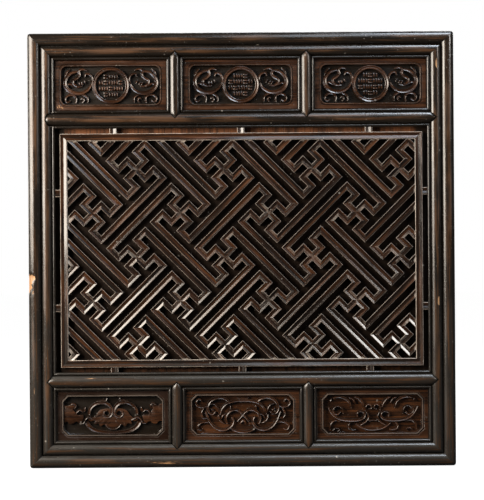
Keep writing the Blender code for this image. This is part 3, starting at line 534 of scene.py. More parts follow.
class PanelSizes(bpy.types.PropertyGroup):
    """Sizes of the finer forms that the finished pieces add to the solids."""

    hand_dip: size("Hand-worked dip", "How far the moulding's face dips here and there", 0.00020)
    groove_floor: size("Groove floor", "Height of the dark groove between the frame's two rounds", 0.0215)
    rim_groove_width: size("Rim groove width", "Width of the groove round a carved field's rim", 0.0020)
    rim_groove_depth: size("Rim groove depth", "Depth of the groove round a carved field's rim", 0.0008)
    band_hollow: size("Band hollow", "Depth of the hollow along a carved band", 0.0013)
    band_drop: size("Band drop", "How far a carved band sinks towards its ends", 0.0012)
    bar_chamfer: size("Bar chamfer", "Width of the softened outer edge of the lattice bars", 0.0003)
    bar_arris: size("Bar edge", "Width of the raised edges of the lattice bars", 0.0003)
    member_arris: size("Member edge", "Width of the raised edges of the lattice frame", 0.0008)
    bar_hollow: size("Bar hollow", "Depth of the hollow face of the lattice bars", 0.0017)
    leaf_edge: size("Leaf edge", "Width of the rounded edge of the carved leaves", 0.0007)
    nose_round: size("Nose rounding", "Radius of the worn tips of the mid rails and muntins", 0.0014)
    blunt_nose: size("Blunt nose", "Radius of the one rail end that is worn quite round", 0.0105)
    nose_slope: size("Nose slope", "How far from its pointed end a rail starts to fall away", 0.0060)
    nose_fall: share("Nose fall", "How much of its height a mid rail or muntin loses at its end", 0.32)
    board_edge: size("Board edge", "Width of the softened edge of the backing boards", 0.0004)


class PanelColours(bpy.types.PropertyGroup):
    """Colours of the lacquered wood and of its wear, with the painted shade and highlights among them."""

    frame_lacquer: colour("Frame lacquer", "Near black lacquer of the frame", (0.0080, 0.0060, 0.0043))
    panel_lacquer: colour("Panel lacquer", "Dark brown of the carved panels", (0.0100, 0.0043, 0.0022))
    lattice_lacquer: colour("Lattice lacquer", "Dark brown lacquer of the lattice", (0.0075, 0.0048, 0.0035))
    board_lacquer: colour("Board colour", "Dark brown of the backing boards", (0.030, 0.013, 0.007))
    thin_lacquer: colour("Thin lacquer", "Orange brown of the frame where worn", (0.066, 0.030, 0.012))
    ruddy_lacquer: colour("Ruddy lacquer", "Reddish brown of the rest where worn", (0.080, 0.028, 0.0085))
    bare_board: colour("Bare board", "Orange brown streaks of the backing boards", (0.150, 0.058, 0.024))
    # Rubbed edges, and a painted highlight along the edges of the lattice and its frame.
    rubbed_edge: colour("Rubbed edge", "Grey beige of the rubbed edges", (0.400, 0.345, 0.295))
    raw_wood: colour("Raw wood", "Light orange wood where the frame is chipped", (0.420, 0.225, 0.100))
    # Dirt in the recesses, which is also painted shade there.
    grime: colour("Grime", "Near black dirt in the recesses", (0.0070, 0.0045, 0.0025))
    # Settled dust, which also paints a sheen on the upward flanks of the lower members.
    settled_dust: colour("Settled dust", "Grey brown film on the lower half", (0.0320, 0.0290, 0.0250))
    # Dirt, and painted shade on the boards behind and beside the lattice.
    board_dirt: colour("Board dirt", "Black brown of the boards behind the lattice", (0.0078, 0.0038, 0.0017))
    dust: colour("Dust", "Pale specks of dust and small chips", (0.300, 0.275, 0.240))


class PanelStage(bpy.types.PropertyGroup):
    """The floor, the lights and the camera."""

    floor: colour("Floor", "Pale floor", (0.14, 0.14, 0.14))
    floor_glow: share("Floor glow", "How brightly the floor shines by itself, so that it stays pale", 0.985)
    warm_light: colour("Warm light", "Colour of the large light from the left", (1.0, 0.90, 0.78))
    warm_power: power("Warm power", "Power of the large light from the left", 36.0)
    side_power: power("Side power", "Power of the light that grazes the left edge", 19.0)
    cool_light: colour("Cool light", "Colour of the two lights from above", (0.80, 0.89, 1.0))
    cool_power: power("Cool power", "Power of the light from above", 18.0)
    low_power: power("Low power", "Power of the dim light over the lower half", 2.6)
    plain_light: colour("Plain light", "Colour of the small light from the right", (1.0, 0.96, 0.92))
    right_power: power("Right power", "Power of the small light from the right", 6.0)
    soft_light: colour("Soft light", "Colour of the soft light behind the panel", (1.0, 1.0, 1.0))
    back_power: power("Back power", "Power of the soft light behind the panel", 45.0)
    fill: share("Fill", "Brightness of the even light from all round", 0.05, 0.0, 2.0)
    camera_distance: size("Camera distance", "Distance from the camera to the panel's face", 2.2, 0.5, 10.0)


def settings(group):
    return getattr(bpy.context.scene, "lattice_panel_" + group)


def smooth_step(low, high, value):
    part = min(1.0, max(0.0, (value - low) / (high - low)))
    return part * part * (3 - 2 * part)


# Shaping


def round_profile(start, width, base, top, steps):
    """Points of a round moulding in a section, from its near side to its far side."""
    angles = [math.pi * step / steps for step in range(steps + 1)]
    middle = start + width / 2
    return [(middle - width / 2 * math.cos(a), base + (top - base) * math.sin(a)) for a in angles]


def frame_profile():
    """Section of the outer frame, as distance from its outer edge and height."""
    groove = settings("sizes").groove_floor
    inner_start = OUTER_EDGE + OUTER_ROUND + GROOVE
    points = [(0, 0)] + [(across, OUTER_BASE - down) for across, down in OUTER_SOFTENING]
    points += round_profile(OUTER_EDGE, OUTER_ROUND, OUTER_BASE, THICKNESS, ROUND_STEPS)
    points += [(inner_start - GROOVE * part, groove) for part in GROOVE_FLOOR_SHARES]
    points += round_profile(inner_start, INNER_ROUND, INNER_BASE, INNER_CREST, ROUND_STEPS)
    points += [(FRAME_FACE - BEAD - QUIRK / 2, QUIRK_FLOOR)]
    points += round_profile(FRAME_FACE - BEAD, BEAD, BEAD_BASE, BEAD_CREST, BEAD_STEPS)
    points += [(FRAME_FACE, RABBET_HEIGHT), (FRAME_FACE - RABBET_WIDTH, RABBET_HEIGHT)]
    return points + [(FRAME_FACE - RABBET_WIDTH, 0)]


def cross_profile(round_width):
    """Section of the moulded front of a mid rail or muntin."""
    half = round_width / 2 + QUIRK + BEAD
    near = [(-half, POINT_FLOOR)] + round_profile(-half, BEAD, BEAD_BASE, BEAD_CREST, BEAD_STEPS)
    near.append((-round_width / 2 - QUIRK / 2, QUIRK_FLOOR))
    far = [(-across, up) for across, up in reversed(near)]
    return near + round_profile(-round_width / 2, round_width, INNER_BASE, CROSS_CREST, ROUND_STEPS) + far


def cove(width, depth):
    """Even steps from a bar's raised edge down to the middle of its hollow, as how far in and down."""
    return [(width / COVE_STEPS, depth / COVE_STEPS)] * COVE_STEPS


def hollow_profile(width, low, high):
    """Section of a lattice frame member: a hollow face between two raised edges."""
    sizes = settings("sizes")
    chamfer, arris = sizes.bar_chamfer, sizes.member_arris
    across, up = chamfer + arris, high
    near = [(0, low), (0, high - chamfer), (chamfer, high), (across, up)]
    for inwards, down in cove(width / 2 - across, sizes.bar_hollow):
        across += inwards
        up -= down
        near.append((across, up))
    return near + [(width - across, up) for across, up in reversed(near[:-1])]


def closed_ring(bm, points):
    """The vertices and edges of a closed outline."""
    ring = [bm.verts.new(point) for point in points]
    return ring + [bm.edges.new((ring[index - 1], ring[index])) for index in range(len(ring))]


def sweep(profile, start, end, step=LENGTH_STEP):
    """Draws a section along X in equal steps and closes its ends."""
    bm = bmesh.new()
    outline = closed_ring(bm, [(start, across, up) for across, up in profile])
    count = max(1, round((end - start) / step))
    stride = ((end - start) / count, 0, 0)
    bmesh.ops.spin(
        bm, geom=outline, cent=(0, 0, 0), axis=(1, 0, 0), dvec=stride, angle=0.0, steps=count,
    )
    return close_up(bm)


def slice_off(bm, point, direction):
    """Cuts away what lies past a plane and closes the cut."""
    whole = list(bm.verts) + list(bm.edges) + list(bm.faces)
    cut = bmesh.ops.bisect_plane(
        bm, geom=whole, dist=WELD, plane_co=point, plane_no=direction, clear_outer=True,
    )["geom_cut"]
    edges = [item for item in cut if isinstance(item, bmesh.types.BMEdge) and item.is_boundary]
    bmesh.ops.edgeloop_fill(bm, edges=edges)


def join(bm, part):
    """Adds a part to a piece."""
    mesh = bpy.data.meshes.new("part")
    part.to_mesh(mesh)
    part.free()
    bm.from_mesh(mesh)
    bpy.data.meshes.remove(mesh)


def shaped_sheet(rows):
    """A grid pulled to rows of places, with the places that touch merged."""
    along, across = len(rows) - 1, len(rows[0]) - 1
    bm = bmesh.new()
    bmesh.ops.create_grid(bm, x_segments=across, y_segments=along, size=0.5)
    for vertex in bm.verts:
        column = round((vertex.co.x + 0.5) * across)
        row = round((vertex.co.y + 0.5) * along)
        vertex.co = rows[row][column]
    bmesh.ops.remove_doubles(bm, verts=bm.verts, dist=WELD)
    return bm


def close_up(bm):
    """Closes what is still open and turns the faces outwards."""
    edges = [edge for edge in bm.edges if edge.is_boundary]
    if edges:
        bmesh.ops.edgeloop_fill(bm, edges=edges)
    bmesh.ops.recalc_face_normals(bm, faces=bm.faces)
    return bm


def thicken(bm, faces, height):
    """Raises a copy of flat faces, so that they become closed blocks."""
    risen = bmesh.ops.extrude_face_region(bm, geom=faces, use_keep_orig=True)["geom"]
    points = [item for item in risen if isinstance(item, bmesh.types.BMVert)]
    bmesh.ops.translate(bm, verts=points, vec=(0, 0, height))
    bmesh.ops.recalc_face_normals(bm, faces=bm.faces)


def prism(points, low, high):
    """A closed block with the given outline."""
    bm = bmesh.new()
    face = bm.faces.new([bm.verts.new((x, y, low)) for x, y in points])
    thicken(bm, [face], high - low)
    return bm


def spot(x, y, turn=0.0):
    """The place of a piece on the panel, turned about its own middle."""
    return Matrix.Translation((x, y, 0)) @ Matrix.Rotation(turn, 4, "Z")


def move(bm, place):
    bmesh.ops.transform(bm, matrix=place, verts=bm.verts)


def loose_object(name, bm, collection):
    mesh = bpy.data.meshes.new(name)
    bm.to_mesh(mesh)
    bm.free()
    loose = bpy.data.objects.new(name, mesh)
    collection.objects.link(loose)
    return loose


def cut_out(bm, cutters):
    """Cuts closed blocks out of a piece and returns what is left."""
    tools = bpy.data.collections.new("cutters")
    bpy.context.scene.collection.children.link(tools)
    for cutter in cutters:
        loose_object("cutter", cutter, tools)
    body = loose_object("body", bm, bpy.context.scene.collection)
    modifier = body.modifiers.new("cut", "BOOLEAN")
    modifier.solver = "EXACT"
    modifier.operation = "DIFFERENCE"
    modifier.operand_type = "COLLECTION"
    modifier.collection = tools
    shape = bpy.data.meshes.new_from_object(body.evaluated_get(bpy.context.evaluated_depsgraph_get()))
    left = bmesh.new()
    left.from_mesh(shape)
    for loose in list(tools.objects) + [body]:
        mesh = loose.data
        bpy.data.objects.remove(loose)
        bpy.data.meshes.remove(mesh)
    bpy.data.collections.remove(tools)
    bpy.data.meshes.remove(shape)
    return left


def marks_at(place, marks, seed):
    """How much wood planing has taken off at a place, from 0 to 1."""
    return 0.5 + 0.5 * noise.noise(Vector((place.x * marks[0], place.y * marks[1], seed)))


def work_by_hand(bm, low, seed):
    """Lets a moulding's face dip here and there, as planing and much handling leave it."""
    amount = settings("sizes").hand_dip
    for vertex in bm.verts:
        place = vertex.co
        if place.z > low:
            dip = (1 - FINE_MARK_SHARE) * marks_at(place, BROAD_MARKS, seed)
            dip += FINE_MARK_SHARE * marks_at(place, FINE_MARKS, seed + FINE_MARK_SEED)
            place.z -= amount * dip * smooth_step(low, low + MARKS_FADE, place.z)


def wear_down(bm):
    """Knocks the chips into the frame and marks how much raw wood shows."""
    raw = bm.verts.layers.float.new("raw")
    for vertex in bm.verts:
        x, y, z = vertex.co
        shown = 0.0
        depth = 0.0
        ragged = noise.noise(Vector((x * CHIP_GRAIN[0], y * CHIP_GRAIN[1], CHIP_SEED)))
        for (middle_x, middle_y), (half_x, half_y), dent, rawness in WORN_PLACES:
            away = math.hypot((x - middle_x) / half_x, (y - middle_y) / half_y) + CHIP_RAGGEDNESS * ragged
            inside = (1 - smooth_step(*CHIP_FADE, away)) * smooth_step(*CHIPPED_HEIGHTS, z)
            shown = max(shown, inside * rawness)
            depth = max(depth, inside * dent * (CHIP_DEPTH[0] + CHIP_DEPTH[1] * ragged))
        if z > RABBET_HEIGHT and depth:
            vertex.co.z -= depth
            vertex.co.x += math.copysign(min(depth * CHIP_INWARDS, CHIP_INWARDS_MOST), -x)
        vertex[raw] = shown


def paint_age(bm, ages, back, lengthways):
    """Marks how rubbed each point is, which also places the painted edge highlight, how far it stands out of
    the dirt and painted shade, how thin its lacquer is and how much it faces up.
    """
    arris = bm.verts.layers.float.new("arris")
    proud = bm.verts.layers.float.new("proud")
    crest = bm.verts.layers.float.new("crest")
    upward = bm.verts.layers.float.new("upward")
    along = back.to_3x3().inverted() @ Vector((1, 0, 0))
    bm.normal_update()
    for vertex in bm.verts:
        height = vertex.co.z
        sharpest = 0.0
        for edge in vertex.link_edges:
            if len(edge.link_faces) == 2:
                run = edge.verts[1].co - edge.verts[0].co
                if not lengthways or abs(run.dot(along)) > ALONG_SHARE * run.length:
                    sharpest = max(sharpest, edge.calc_face_angle_signed(0.0))
        vertex[arris] = smooth_step(*RUBBED_AND_HIGHLIT_BENDS, sharpest) * smooth_step(*ages["edge"], height)
        vertex[proud] = smooth_step(*ages["proud"], height)
        # How much a point faces up; the film paints a sheen on what faces up.
        vertex[upward] = max(0.0, vertex.normal.y)
        dulled = ages.get("dull_face", 0.0) * smooth_step(*DULL_HEIGHTS, height)
        # Painted light on the sunk ground of the lower panels, lighter against the shade of the deep field.
        ground_lift = ages.get("ground_painted_light", 0.0) * (1 - smooth_step(FIELD_FLOOR, RELIEF_TOP, height))
        level = smooth_step(*ages["level"], vertex.normal.z)
        vertex[crest] = smooth_step(*ages["crest"], height) * level * (1 - dulled + ground_lift)


def grain_along_bars(bm, shift):
    """Lets the grain run along each bar of the fret, so that it turns at every mitre."""
    grain = bm.loops.layers.float_vector.new("grain")
    for face in bm.faces:
        runs = [(edge.verts[1].co - edge.verts[0].co).xy for edge in face.edges]
        along = max(runs, key=lambda run: run.length).normalized()
        along = along if along.x > 0 else -along
        for loop in face.loops:
            place = loop.vert.co.xy
            loop[grain] = Vector((place.dot(along), along.cross(place), loop.vert.co.z)) + shift


def finish_piece(
    name, bm, finish, ages, place=None, number=0,
    lengthways=True, clean_share=None, sharp=SHARP_ANGLE, along_bars=False,
):
    """Ages a piece, stands it in its place and hides the plain solid that it stands for."""
    if "raw" not in bm.verts.layers.float:
        bm.verts.layers.float.new("raw")
    back = place.inverted() if place else Matrix.Identity(4)
    paint_age(bm, ages, back, lengthways)
    # A board's share lowers how far it stands out, which paints dirt and shade on it.
    if clean_share:
        proud = bm.verts.layers.float["proud"]
        for vertex in bm.verts:
            vertex[proud] *= clean_share(vertex.co)
    shift = Vector((GRAIN_SHIFT[0] * number, GRAIN_SHIFT[1] * number, 0.0))
    if along_bars:
        grain_along_bars(bm, shift)
    else:
        grain = bm.verts.layers.float_vector.new("grain")
        for vertex in bm.verts:
            vertex[grain] = back @ vertex.co + shift
    move(bm, STAND_UP)
    for face in bm.faces:
        face.smooth = True
    piece = loose_object(name + "_finished", bm, bpy.context.scene.collection)
    piece.data.set_sharp_from_angle(angle=sharp)
    piece.data.materials.append(bpy.data.materials[finish])
    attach(piece, "root")
    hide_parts(name)


# Finishes


def new_group(name, amounts, masks):
    """A node group that reads a place and some amounts and puts out masks, with its two ends."""
    tree = bpy.data.node_groups.new(name, "ShaderNodeTree")
    tree.interface.new_socket(name="Vector", in_out="INPUT", socket_type="NodeSocketVector")
    for label, default in amounts.items():
        socket = tree.interface.new_socket(name=label, in_out="INPUT", socket_type="NodeSocketFloat")
        socket.default_value = default
    for label in masks:
        tree.interface.new_socket(name=label, in_out="OUTPUT", socket_type="NodeSocketFloat")
    return tree, tree.nodes.new("NodeGroupInput").outputs, tree.nodes.new("NodeGroupOutput").inputs


def fractal(tree, vector, scale, detail, roughness=0.6):
    texture = tree.nodes.new("ShaderNodeTexNoise")
    texture.inputs["Scale"].default_value = scale
    texture.inputs["Detail"].default_value = detail
    texture.inputs["Roughness"].default_value = roughness
    tree.links.new(vector, texture.inputs["Vector"])
    return texture.outputs["Fac"]


def stretched(tree, vector, scale):
    mapping = tree.nodes.new("ShaderNodeMapping")
    mapping.inputs["Scale"].default_value = scale
    tree.links.new(vector, mapping.inputs["Vector"])
    return mapping.outputs["Vector"]


def spread(tree, value, low, high, start=0.0, end=1.0):
    """Spreads a part of a value's range over another range, smoothly."""
    ramp = tree.nodes.new("ShaderNodeMapRange")
    ramp.interpolation_type = "SMOOTHSTEP"
    for name, number in (("From Min", low), ("From Max", high), ("To Min", start), ("To Max", end)):
        ramp.inputs[name].default_value = number
    tree.links.new(value, ramp.inputs["Value"])
    return ramp.outputs["Result"]


def reckon(tree, operation, first, second, clamp=False):
    node = tree.nodes.new("ShaderNodeMath")
    node.operation = operation
    node.use_clamp = clamp
    for socket, value in zip(node.inputs, (first, second)):
        if isinstance(value, (int, float)):
            socket.default_value = value
        else:
            tree.links.new(value, socket)
    return node.outputs["Value"]


def times(tree, first, second, clamp=False):
    return reckon(tree, "MULTIPLY", first, second, clamp)


def weighed(tree, *parts, clamp=False):
    """Adds up values, each times its weight."""
    total, *others = [times(tree, value, weight) for value, weight in parts]
    for part in others:
        total = reckon(tree, "ADD", total, part, clamp)
    return total


def swing(tree, value, amount):
    """A value's swing about its middle, times an amount."""
    return times(tree, reckon(tree, "SUBTRACT", value, 0.5), amount)


def blend_colours(tree, share_socket, first, second):
    node = tree.nodes.new("ShaderNodeMix")
    node.data_type = "RGBA"
    tree.links.new(share_socket, node.inputs[0])
    for socket, value in ((node.inputs[6], first), (node.inputs[7], second)):
        if isinstance(value, bpy.types.NodeSocket):
            tree.links.new(value, socket)
        else:
            socket.default_value = (*value, 1.0)
    return node.outputs[2]


def build_grain_group():
    """Wood grain along a piece: broad streaks, fine pores and slow changes of tone."""
    tree, given, made = new_group("wood grain", {}, ("Streaks", "Pores", "Tone"))
    for output, stretch, detail, low, high in GRAIN_LAYERS:
        layer = fractal(tree, stretched(tree, given["Vector"], stretch), 1.0, detail)
        tree.links.new(spread(tree, layer, low, high), made[output])


def build_wear_group():
    """Rubbed edges that also carry a painted highlight, broken up so that no edge is rubbed evenly."""
    tree, given, made = new_group("edge wear", {"Edge": 0.0, "Amount": 0.5}, ("Mask",))
    coarse = fractal(tree, given["Vector"], scale=45, detail=4)
    fine = fractal(tree, given["Vector"], scale=420, detail=3)
    broken = reckon(tree, "SUBTRACT", weighed(tree, (coarse, 0.8), (fine, 0.45)), WEAR_MIDDLE)
    shown = spread(tree, reckon(tree, "ADD", given["Edge"], broken), low=0.50, high=1.05)
    tree.links.new(times(tree, shown, given["Amount"], clamp=True), made["Mask"])


def build_grime_group():
    """Dirt and painted shade where a surface lies low, with a ragged upper limit."""
    tree, given, made = new_group("grime", {"Proud": 1.0, "Amount": 0.8}, ("Mask",))
    ragged = swing(tree, fractal(tree, given["Vector"], scale=120, detail=5), GRIME_AND_SHADE_RAGGEDNESS)
    height = reckon(tree, "ADD", given["Proud"], ragged)
    low = spread(tree, height, low=0.25, high=0.85, start=1.0, end=0.0)
    tree.links.new(times(tree, low, given["Amount"], clamp=True), made["Mask"])


def scattered(tree, vector, scale, kept, radius):
    """Round spots, of which only a share is kept."""
    cells = tree.nodes.new("ShaderNodeTexVoronoi")
    cells.inputs["Scale"].default_value = scale
    tree.links.new(vector, cells.inputs["Vector"])
    parts = tree.nodes.new("ShaderNodeSeparateColor")
    tree.links.new(cells.outputs["Color"], parts.inputs["Color"])
    chosen = reckon(tree, "LESS_THAN", parts.outputs["Red"], kept)
    away = reckon(tree, "ADD", cells.outputs["Distance"], times(tree, parts.outputs["Green"], -radius))
    spots = spread(tree, away, low=0.0, high=radius * SPOT_SOFTNESS, start=1.0, end=0.0)
    return times(tree, chosen, spots)


def build_speck_group():
    """Pale dust and small chips, and the small pits of an old surface."""
    tree, given, made = new_group("specks and pits", {"Amount": 1.0}, ("Specks", "Pits"))
    vector = given["Vector"]
    patches = spread(tree, fractal(tree, vector, scale=16, detail=2), low=0.42, high=0.62)
    dust = times(tree, scattered(tree, vector, scale=130, kept=0.10, radius=0.16), patches)
    fine = times(tree, scattered(tree, vector, scale=380, kept=0.12, radius=0.22), patches)
    wide_pits = scattered(tree, vector, scale=260, kept=0.35, radius=0.25)
    small_pits = scattered(tree, vector, scale=520, kept=0.3, radius=0.25)
    masks = {
        "Specks": reckon(tree, "MAXIMUM", dust, times(tree, fine, FINE_SPECK_SHARE)),
        "Pits": reckon(tree, "MAXIMUM", wide_pits, small_pits),
    }
    for output, mask in masks.items():
        tree.links.new(times(tree, mask, given["Amount"], clamp=True), made[output])


def attribute(tree, name, output="Fac"):
    node = tree.nodes.new("ShaderNodeAttribute")
    node.attribute_name = name
    return node.outputs[output]


def placed_group(tree, group, **inputs):
    node = tree.nodes.new("ShaderNodeGroup")
    node.node_tree = bpy.data.node_groups[group]
    for name, value in inputs.items():
        if isinstance(value, bpy.types.NodeSocket):
            tree.links.new(value, node.inputs[name])
        else:
            node.inputs[name].default_value = value
    return node.outputs


def settled_film(tree, bare, amount):
    """A film on the lower half, in patches along the grain and most on what faces up: settled dust and a
    painted sheen where it is grey, painted shade where it takes the grime colour.
    """
    place = tree.nodes.new("ShaderNodeSeparateXYZ")
    coordinates = tree.nodes.new("ShaderNodeTexCoord")
    tree.links.new(coordinates.outputs["Object"], place.inputs["Vector"])
    film = times(tree, spread(tree, place.outputs["Z"], *FILM_HEIGHTS, 1.0, 0.0), amount)
    film = times(tree, film, spread(tree, bare, *PATCHY_FILM))
    return times(tree, film, spread(tree, attribute(tree, "upward"), *SHEEN_AND_DUST_ON_TOP), clamp=True)


def aged_wood(
    name, lacquer, thinned, bare_range, edges, grime, specks, gloss, relief,
    film_amount=0.0, shine=0.5, dirt_and_shade="grime", film="settled_dust", dulling=0.10,
):
    """Old lacquered wood: thin along the grain, with rubbed edges, dirt, dust, specks and raw chips."""
    colours = settings("colours")
    material = bpy.data.materials.new(name)
    material.use_nodes = True
    tree = material.node_tree
    shader = tree.nodes["Principled BSDF"]
    vector = attribute(tree, "grain", "Vector")
    grain = placed_group(tree, "wood grain", Vector=vector)
    marks = placed_group(tree, "specks and pits", Vector=vector, Amount=specks)
    edge, proud = attribute(tree, "arris"), attribute(tree, "proud")
    rubbing_and_highlight = placed_group(tree, "edge wear", Vector=vector, Edge=edge, Amount=edges)["Mask"]
    # Low places darken: dirt and painted shade.
    grime_and_shade_mask = placed_group(tree, "grime", Vector=vector, Proud=proud, Amount=grime)["Mask"]

    bare = weighed(tree, (grain["Streaks"], 0.55), (grain["Tone"], 0.45))
    thin = times(tree, spread(tree, bare, *bare_range), attribute(tree, "crest"))
    # The film on the lower half: dust and a painted sheen, or painted shade on the fret.
    lower_half_mask = settled_film(tree, bare, film_amount)
    raw = reckon(tree, "ADD", attribute(tree, "raw"), swing(tree, grain["Pores"], RAW_SWING))
    raw_shown = spread(tree, raw, *RAW_RANGE)
    dark_wood = [part * RAW_DARK_SHARE for part in colours.raw_wood]
    raw_tint = blend_colours(tree, grain["Streaks"], dark_wood, colours.raw_wood)
    tint = blend_colours(tree, thin, getattr(colours, lacquer), getattr(colours, thinned))
    covers = (
        (lower_half_mask, getattr(colours, film)),
        (rubbing_and_highlight, colours.rubbed_edge),
        (grime_and_shade_mask, getattr(colours, dirt_and_shade)),
        (marks["Specks"], colours.dust),
        (raw_shown, raw_tint),
    )
    for mask, cover in covers:
        tint = blend_colours(tree, mask, tint, cover)
    tree.links.new(tint, shader.inputs["Base Color"])

    even = spread(tree, grain["Tone"], 0, 1, gloss + GLOSS_SPREAD[0], gloss + GLOSS_SPREAD[1])
    dull = ((even, 1), (rubbing_and_highlight, 0.12), (marks["Pits"], 0.15), (lower_half_mask, dulling), (raw_shown, 0.35))
    tree.links.new(weighed(tree, *dull, clamp=True), shader.inputs["Roughness"])
    shader.inputs["Specular IOR Level"].default_value = shine

    height = weighed(tree, (grain["Streaks"], 0.65), (grain["Pores"], 0.35), (marks["Pits"], -0.6))
    bump = tree.nodes.new("ShaderNodeBump")
    bump.inputs["Strength"].default_value = relief
    bump.inputs["Distance"].default_value = BUMP_DEPTH
    tree.links.new(height, bump.inputs["Height"])
    tree.links.new(bump.outputs["Normal"], shader.inputs["Normal"])


class LATTICEPANEL_OT_finishes(bpy.types.Operator):
    """Makes the shared effects and the five wood finishes"""

    bl_idname = "lattice_panel.finishes"
    bl_label = "Wood finishes"

    def execute(self, context):
        build_grain_group()
        build_wear_group()
        build_grime_group()
        build_speck_group()
        for name, values in FINISHES.items():
            aged_wood(name, **values)
        return {"FINISHED"}


# Frame


def mitred_bar(profile, length):
    """A bar along X with its outer edge on Y = 0 and both ends mitred."""
    bm = sweep(profile, -length / 2, length / 2)
    for sign in (-1, 1):
        slice_off(bm, (sign * length / 2, 0, 0), (sign, 1, 0))
    return bm


def ease_corners(bm, length):
    """Takes the sharp outer corners off a frame member."""
    centre = length / 2 - CORNER_RADIUS
    for vertex in bm.verts:
        past_end = abs(vertex.co.x) - centre
        past_side = CORNER_RADIUS - vertex.co.y
        reach = math.hypot(past_end, past_side)
        if past_end > 0 and past_side > 0 and reach > CORNER_RADIUS:
            vertex.co.x = math.copysign(centre + past_end * CORNER_RADIUS / reach, vertex.co.x)
            vertex.co.y = CORNER_RADIUS - past_side * CORNER_RADIUS / reach


def notch(half_width, x, y, turn, blunt=False):
    """The pointed block that a cross piece's end needs in its neighbour."""
    reach = half_width + GAP * math.sqrt(2)
    outline = [(-OVERCUT, -reach - OVERCUT), (reach, 0), (-OVERCUT, reach + OVERCUT)]
    if blunt:
        radius = settings("sizes").blunt_nose
        middle = reach - radius
        arc = [(middle + radius * math.cos(turned), radius * math.sin(turned)) for turned in BLUNT_TURNS]
        outline = [(-OVERCUT, -reach), *arc, (-OVERCUT, reach)]
    block = prism(outline, POINT_FLOOR - GAP, THICKNESS + OVERCUT)
    move(block, spot(x, y, turn))
    return block


def side_place(side, half_x, half_y):
    """Where a bar goes that lies on one side of a rectangle: bottom, right, top or left."""
    upright = side % 2 == 1
    turn = side * math.pi / 2
    distance = half_x if upright else half_y
    place = spot(distance * math.sin(turn), -distance * math.cos(turn), turn)
    return place, 2 * (half_y if upright else half_x)


class LATTICEPANEL_OT_frame(bpy.types.Operator):
    """Models the four moulded and mitred members of the outer frame"""

    bl_idname = "lattice_panel.frame"
    bl_label = "Outer frame"

    def execute(self, context):
        up = math.pi / 2
        sides = (-1, 1)
        notches = {
            "bottom_rail": [(MUNTIN / 2, side * MUNTIN_X, -INNER_Y, -up) for side in sides],
            "stile_right": [(MID_RAIL / 2, INNER_X, side * MID_RAIL_Y, 0) for side in sides],
            "top_rail": [(MUNTIN / 2, side * MUNTIN_X, INNER_Y, up) for side in sides],
            "stile_left": [(MID_RAIL / 2, -INNER_X, side * MID_RAIL_Y, math.pi, side > 0) for side in sides],
        }
        for side, (name, cuts) in enumerate(notches.items()):
            place, length = side_place(side, WIDTH / 2, HEIGHT / 2)
            bm = mitred_bar(frame_profile(), length)
            ease_corners(bm, length)
            work_by_hand(bm, MARKS_FROM, side * FRAME_SEED_STEP)
            move(bm, place)
            bm = cut_out(bm, [notch(*cut) for cut in cuts])
            wear_down(bm)
            finish_piece(name, bm, "dark lacquered frame", FRAME_AGES, place, side)
        return {"FINISHED"}


def cross_front(round_width, length, blunt):
    """The moulded front of a mid rail or muntin, pointed at both ends or worn round at the left one."""
    half = round_width / 2 + QUIRK + BEAD
    tip = length / 2 + half
    bm = sweep(cross_profile(round_width), -tip - OVERCUT, tip + OVERCUT, LENGTH_STEP / 2)
    radius = settings("sizes").blunt_nose
    for sign in (-1, 1):
        if blunt and sign < 0:
            for turn in BLUNT_TURNS:
                direction = Vector((-math.cos(turn), math.sin(turn), 0))
                slice_off(bm, Vector((radius - tip, 0, 0)) + direction * radius, direction)
        else:
            slice_off(bm, (sign * tip, 0, 0), (sign, 1, 0))
            slice_off(bm, (sign * tip, 0, 0), (sign, -1, 0))
    ease_nose(bm, tip, blunt)
    return bm


def ease_nose(bm, tip, blunt):
    """Wears down the ends of a mid rail or muntin, in plan and in height."""
    sizes = settings("sizes")
    radius, reach = sizes.nose_round, sizes.nose_slope
    centre = tip - radius * math.sqrt(2)
    for vertex in bm.verts:
        x, y, z = vertex.co
        inside = (tip - abs(x) - abs(y)) / math.sqrt(2)
        worn_round = blunt and x < 0
        if worn_round:
            inside = sizes.blunt_nose - math.hypot(min(0.0, x + tip - sizes.blunt_nose), y)
            inside = inside if x < sizes.blunt_nose - tip else reach
        if inside < reach:
            part = 1 - max(0.0, inside) / reach
            fall = (z - BEAD_BASE) * sizes.nose_fall * (1 - math.sqrt(max(0.0, 1 - part * part)))
            vertex.co.z -= max(0.0, fall)
        past = Vector((abs(x) - centre, y))
        at_tip = past.length > radius and past.x > radius * NOSE_TIP_SHARE
        if at_tip and not worn_round and z > NOSE_FROM:
            past *= radius / past.length
            vertex.co.x = math.copysign(centre + past.x, x)
            vertex.co.y = past.y


def cross_back(round_width, length):
    """The square back of a mid rail or muntin, with its rabbets and its two tongues."""
    half = round_width / 2 + QUIRK + BEAD
    inner = half - RABBET_WIDTH
    butt = length / 2 - GAP
    near = [(-inner, 0), (-inner, RABBET_HEIGHT), (-half, RABBET_HEIGHT), (-half, POINT_FLOOR)]
    bm = sweep(near + [(-across, up) for across, up in reversed(near)], -butt, butt, length)
    tongue = [(-inner, 0), (-inner, RABBET_HEIGHT - GAP), (inner, RABBET_HEIGHT - GAP), (inner, 0)]
    for start, end in ((-butt - RABBET_WIDTH, -butt), (butt, butt + RABBET_WIDTH)):
        join(bm, sweep(tongue, start, end, RABBET_WIDTH))
    return bm


def add_cross_piece(name, round_width, length, x, y, turn, cuts, number, blunt=False):
    place = spot(x, y, turn)
    bm = cross_front(round_width, length, blunt)
    work_by_hand(bm, MARKS_FROM, number * CROSS_SEED_STEP + CROSS_SEED)
    move(bm, place)
    if cuts:
        bm = cut_out(bm, [notch(*cut) for cut in cuts])
    back = cross_back(round_width, length)
    move(back, place)
    join(bm, back)
    wear_down(bm)
    finish_piece(name, bm, "dark lacquered frame", FRAME_AGES, place, number)


